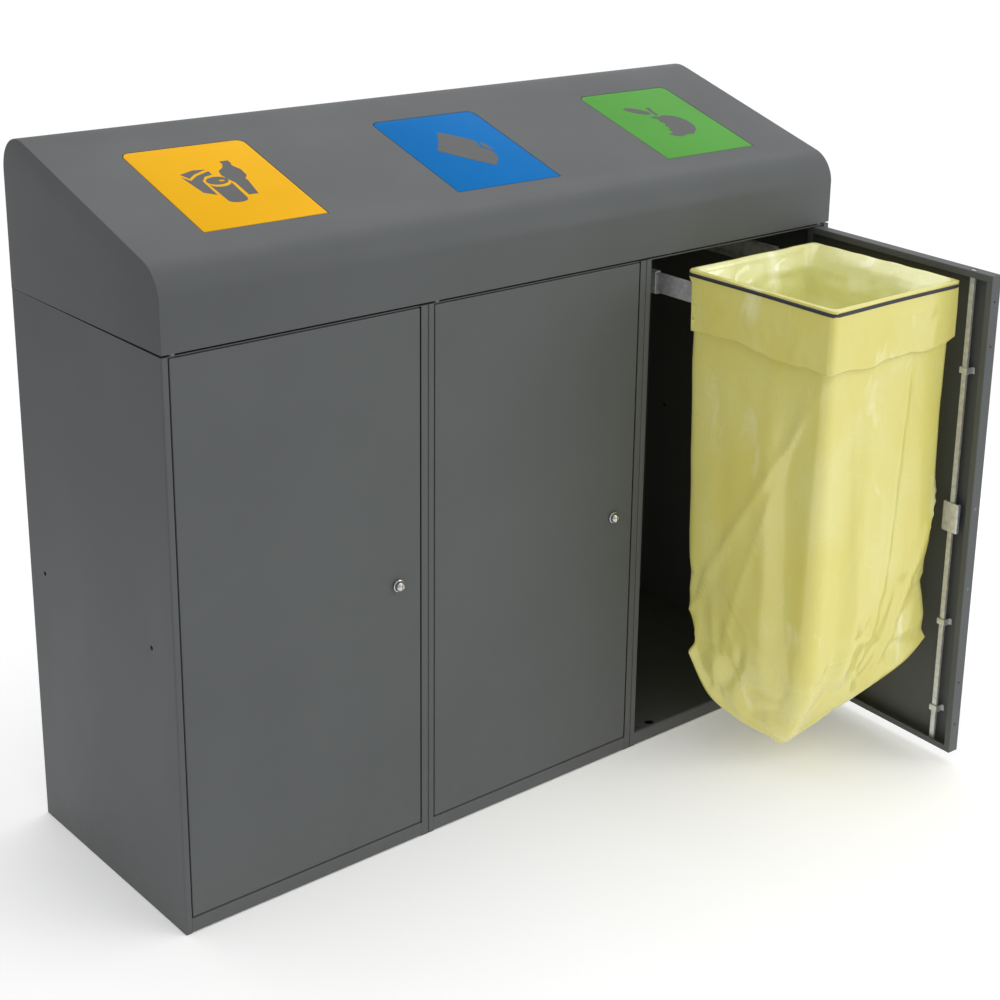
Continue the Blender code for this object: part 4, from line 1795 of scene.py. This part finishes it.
    def build(self) -> None:
        """Model the bag with its cuff and put it on the drawer."""
        centre = self.centre()
        rows = self.cuff_rows() + self.body_rows()
        deselect()
        bpy.ops.mesh.primitive_grid_add(x_subdivisions=self.around, y_subdivisions=len(rows) - 1, size=1.0)
        bag = named(f"bag_film_{self.number}")
        width = self.around + 1
        for index, vert in enumerate(bag.data.vertices):
            row, column = divmod(index, width)
            place = rows[row][column % self.around]
            vert.co = Vector((centre.x, centre.y, 0.0)) + place
        clean(bag, 0.00005)
        if self.facing_in(bag, centre):
            edit_all(bag)
            bpy.ops.mesh.flip_normals()
            bpy.ops.object.mode_set(mode="OBJECT")
        skin = bag.modifiers.new("film", "SOLIDIFY")
        skin.thickness = self.wall
        skin.offset = -1.0
        apply_all(bag)
        shade(bag, 180)
        body = f"drawer_{self.number}"
        # The bag in the open cabinet gets the film with painted glow; the others get its shaded copy.
        stock = Stock.FILM if self.in_daylight else Stock.FILM_SHUT
        fit(bag, stock, body, (f"bag_{self.number}",))
        # The open bag's inner side gets the paler copy with more painted glow and painted highlights.
        if self.in_daylight:
            PAINT.line(bag, Stock.FILM_INSIDE, lambda face: self.is_inside(face, centre))
        self.band(centre, body)

    def is_inside(self, face: bpy.types.MeshPolygon, centre: Vector) -> bool:
        """Whether a face is on the inside of the bag.

        Args:
            face: the face.
            centre: the ring's middle.

        Returns:
            True for the film's inner side.
        """
        middle = face.center
        across, along = middle.x - centre.x, middle.y - centre.y
        inwards = face.normal.x * across + face.normal.y * along < -0.02
        return inwards and abs(across) < 0.1372 and abs(along) < 0.1405

    def facing_in(self, bag: bpy.types.Object, centre: Vector) -> bool:
        """Whether the body's faces point towards its middle.

        Args:
            bag: the bag.
            centre: the ring's middle.

        Returns:
            True where they need turning round.
        """
        total = 0.0
        for face in bag.data.polygons:
            middle = face.center
            if 0.3 < middle.z < 0.6:
                total += face.normal.dot(Vector((middle.x - centre.x, middle.y - centre.y, 0)))
        return total < 0

    def cuff_rows(self) -> list[list[Vector]]:
        """Rows of the cuff, from its free hem up and over the rim.

        Returns:
            The rows of points, about the ring's middle.
        """
        shares = [column / self.around for column in range(self.around)]
        rows = [[self.cuff_point(share, step / (self.cuff_steps - 1)) for share in shares]
                for step in range(self.cuff_steps)]
        for step in range(1, self.over_steps):
            angle = math.pi * step / self.over_steps
            row = []
            for share in shares:
                outer, inner = self.rounded_box(share, *self.CUFF), self.rounded_box(share, *self.MOUTH)
                point = outer.lerp(inner, (1 - math.cos(angle)) / 2)
                ruffle = self.ripple(point, 24.0, 0.0, self.seed)
                point.z = self.rim - self.lip + (0.0014 + 0.0016 * ruffle) * math.sin(angle)
                row.append(point)
            rows.append(row)
        return rows

    def cuff_point(self, share: float, rise: float) -> Vector:
        """A point of the turned-down cuff.

        Args:
            share: how far round.
            rise: 0 at the free hem and 1 at the rim.

        Returns:
            The point.
        """
        wall = self.rounded_box(share, *self.CUFF)
        rolled = smoothstep(0.1270, 0.1350, wall.y)
        right = smoothstep(0.06, 0.139, wall.x)
        wave = self.ripple(wall, 13.0, 0.0, self.seed + 0.5)
        small = self.ripple(wall, 38.0, 0.0, self.seed + 4.5)
        hem = self.cuff_low - 0.001 + 0.013 * right + 0.011 * wave + 0.003 * small
        hem = hem + (0.7710 - hem) * rolled
        height = hem + (self.rim - self.lip - hem) * rise
        below_band = smoothstep(0.770, 0.745, height) * (1 - rolled)
        lift = noise.noise(Vector((wall.x * 14, wall.y * 14, height * 6 + self.seed)))
        crinkle = abs(noise.noise(Vector((wall.x * 46, wall.y * 46, height * 34 + self.seed)))) - 0.2
        flare = below_band * (0.0022 + 0.0026 * lift + 0.0022 * crinkle) * (1 - 0.8 * right)
        pinch = -0.0009 * smoothstep(0.006, 0.0, abs(height - self.band_level))
        outward = Vector((wall.x, wall.y * 0.97, 0)).normalized()
        point = wall + outward * (flare + pinch)
        point.z = height
        return point

    def body_rows(self) -> list[list[Vector]]:
        """Rows of the hanging body, from the rim to the seam.

        Returns:
            The rows of points, about the ring's middle.
        """
        rows = []
        for level in range(self.levels + 1):
            drop = (level / self.levels) ** 0.92
            row = []
            for column in range(self.around):
                share = column / self.around
                point = self.body_point(share, drop)
                outward = Vector((point.x, point.y, 0))
                outward = outward.normalized() if outward.length > 0.005 else Vector((0, 0, 0))
                hold = smoothstep(1.0, 0.97, drop)
                moved = self.crumple(point, outward, drop)
                row.append(point.lerp(moved, hold))
            rows.append(row)
        return rows

    def band(self, centre: Vector, body: str) -> None:
        """The elastic band round the cuff.

        Args:
            centre: the ring's middle.
            body: the drawer's body.
        """
        points = []
        for step in range(self.band_steps):
            point = self.rounded_box(step / self.band_steps, *self.BAND)
            dip = 0.0004 * math.sin(8 * math.pi * step / self.band_steps + self.seed)
            points.append(Vector((centre.x + point.x, centre.y + point.y, self.band_level + dip)))
        piece = swept(f"elastic_{self.number}", points, 0.0031, True, 4)
        fit(piece, Stock.ELASTIC, body, (f"band_{self.number}",))


# ---------------------------------------------------------------- studio


@dataclass
class Studio:
    """Floor, lights and camera.  The focal length and the centre count picture points."""

    eye: Vector
    turn: tuple[float, float, float]
    focal: float
    principal: Point
    picture: float = 1000.0
    sensor: float = 36.0
    floor_glow: float = 0.23

    LAMPS = (("top", (0.2, 0.5, 3.4), 3.0, 32.0), ("key", (0.9, -2.8, 3.0), 1.6, 15.0),
             ("front", (2.4, -2.8, 1.5), 1.2, 18.0))

    def build(self) -> None:
        """Set up the floor, the light and the camera."""
        self.floor()
        self.lights()
        self.camera()

    def floor(self) -> None:
        """A pale floor that glows faintly, but not under the station, and fades out far from it."""
        deselect()
        bpy.ops.mesh.primitive_plane_add(size=40.0, location=(0, 0, -0.0004))
        floor = freeze(named("studio_floor"))
        made = bpy.data.materials.new("studio_floor")
        made.use_nodes = True
        nodes = Nodes(made.node_tree)
        shader = made.node_tree.nodes["Principled BSDF"]
        coords = nodes.add("TexCoord")
        texture = nodes.add("TexNoise")
        texture.inputs["Scale"].default_value = 3.0
        nodes.link(coords.outputs["Object"], texture.inputs["Vector"])
        nodes.link(nodes.mix(texture.outputs["Fac"], (0.91, 0.91, 0.91), (0.93, 0.93, 0.93)),
                   shader.inputs["Base Color"])
        shader.inputs["Roughness"].default_value = 0.7
        shader.inputs["Specular IOR Level"].default_value = 0.1
        shader.inputs["Emission Color"].default_value = (1.0, 1.0, 1.0, 1.0)
        split = nodes.add("SeparateXYZ")
        nodes.link(coords.outputs["Object"], split.inputs[0])
        across = nodes.math("DIVIDE", nodes.math("ABSOLUTE", split.outputs["X"]), 0.60)
        behind = nodes.math("SUBTRACT", split.outputs["Y"], 0.188)
        along = nodes.math("DIVIDE", nodes.math("ABSOLUTE", behind), 0.20)
        outside = nodes.math("GREATER_THAN", nodes.math("MAXIMUM", across, along), 1.0)
        nodes.link(nodes.math("MULTIPLY", outside, self.floor_glow), shader.inputs["Emission Strength"])
        distance = nodes.add("VectorMath", operation="LENGTH")
        nodes.link(coords.outputs["Object"], distance.inputs[0])
        fade = nodes.add("MapRange", interpolation_type="SMOOTHSTEP")
        nodes.link(distance.outputs["Value"], fade.inputs["Value"])
        for name, value in (("From Min", 1.3), ("From Max", 2.6), ("To Min", 1.0), ("To Max", 0.0)):
            fade.inputs[name].default_value = value
        nodes.link(fade.outputs[0], shader.inputs["Alpha"])
        floor.data.materials.append(made)

    def lights(self) -> None:
        """A white room with a soft light overhead and weaker ones in front."""
        world = bpy.data.worlds.new("studio")
        world.use_nodes = True
        nodes = Nodes(world.node_tree)
        seen = world.node_tree.nodes["Background"]
        seen.inputs[0].default_value = (1.0, 1.0, 1.0, 1.0)
        path = nodes.add("LightPath")
        aim = nodes.add("SeparateXYZ")
        nodes.link(nodes.add("TexCoord").outputs["Generated"], aim.inputs[0])
        room = nodes.scaled(aim.outputs["X"], 0.26, 0.74)
        backdrop = nodes.math("MULTIPLY", path.outputs["Is Camera Ray"], 1.02)
        nodes.link(nodes.math("MAXIMUM", backdrop, room), seen.inputs[1])
        bpy.context.scene.world = world
        for name, place, size, power in self.LAMPS:
            lamp = bpy.data.lights.new(name, "AREA")
            lamp.size = size
            lamp.energy = power
            obj = bpy.data.objects.new(name, lamp)
            bpy.context.scene.collection.objects.link(obj)
            obj.location = place
            beam = Vector((0.0, 0.1, 0.5)) - Vector(place)
            obj.rotation_euler = beam.to_track_quat("-Z", "Y").to_euler()
        bpy.context.scene.view_settings.view_transform = "Standard"

    def camera(self) -> None:
        """The camera, from the front left and a little above."""
        data = bpy.data.cameras.new("view")
        data.sensor_width = self.sensor
        data.lens = self.focal * self.sensor / self.picture
        data.shift_x = 0.5 - self.principal[0] / self.picture
        data.shift_y = self.principal[1] / self.picture - 0.5
        data.clip_end = 60.0
        camera = bpy.data.objects.new("view", data)
        bpy.context.scene.collection.objects.link(camera)
        axis = Vector(self.turn)
        seen = Matrix.Rotation(axis.length, 3, axis.normalized())
        flip = Matrix(((1, 0, 0), (0, -1, 0), (0, 0, -1)))
        rotation = (flip @ seen).transposed()
        camera.matrix_world = Matrix.Translation(self.eye) @ rotation.to_4x4()
        bpy.context.scene.camera = camera


# ---------------------------------------------------------------- the whole station


@dataclass
class Station:
    """The whole station, built round the frame's solids."""

    nodes: dict[str, bpy.types.Object]
    open_angle: float = math.radians(87)

    def dress_frame(self) -> None:
        """Give every solid that stays its finish."""
        for number in CABINETS:
            for name in ("case", "floor_tray", "top_rail", "door"):
                PAINT.coat(self.nodes[f"{name}_{number}"], Stock.GREY)
            PAINT.coat(self.nodes[f"bag_frame_{number}"], Stock.INSIDE)
            PAINT.coat(self.nodes[f"hinge_pin_{number}"], Stock.BLUED)
            for name in ("slide_bracket", "slide_outer_left", "slide_outer_right",
                         "slide_middle_left", "slide_middle_right", "flap_rod", "rod_top", "rod_bottom"):
                PAINT.coat(self.nodes[f"{name}_{number}"], Stock.ZINC)
            PAINT.coat(self.nodes[f"flap_spring_{number}"], Stock.SPRING)

    def plugs(self) -> None:
        """Blanking plugs in the two joining holes of the right-hand end wall."""
        low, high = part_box("case_3")
        pieces = []
        for offset in (0.058, 0.355):
            plug = add_disc("plug", (high.x - 0.0012, low.y + offset, 0.397), AXIS_X, 0.0034, 0.0022, 20)
            pieces.append(bevelled(plug, 0.0006, 2))
        fit(shade(joined("hole_plugs", pieces), 35), Stock.DARK, "cabinets")

    def door_frame(self, number: int) -> DoorFrame:
        """Where a door stands.

        Args:
            number: the cabinet's number.

        Returns:
            The door's place.
        """
        low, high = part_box(f"hinge_pin_{number}")
        hinge = Vector(((low.x + high.x) / 2, (low.y + high.y) / 2, 0.0))
        return DoorFrame(number, hinge, self.open_angle if number == 3 else 0.0)

    def build(self) -> None:
        """Finish the solids that stay and build the pieces that are new."""
        self.dress_frame()
        hood = Hood()
        hood.build()
        flaps = (Flap(1, Stock.YELLOW, "yellow_paint", Sign.PACKAGING),
                 Flap(2, Stock.BLUE, "blue_paint", Sign.PAPER),
                 Flap(3, Stock.GREEN, "green_paint", Sign.FOOD))
        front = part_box("door_1")[0].y
        for flap in flaps:
            flap.build(hood)
        self.plugs()
        for number in CABINETS:
            Door(self.door_frame(number), front).build()
            Slides(number).build()
            Bag(number, 11 * number, number == 3).build()


def main() -> None:
    """Build the station and its studio."""
    logging.basicConfig(level=logging.INFO, format="%(name)s: %(message)s")
    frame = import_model()
    Station(frame["nodes"]).build()
    Studio(Vector((-1.65552, -1.93707, 1.48483)), (1.793210, -0.657593, 0.513274), 1880.8,
           (572.0, 363.0)).build()


if __name__ == "__main__":
    main()
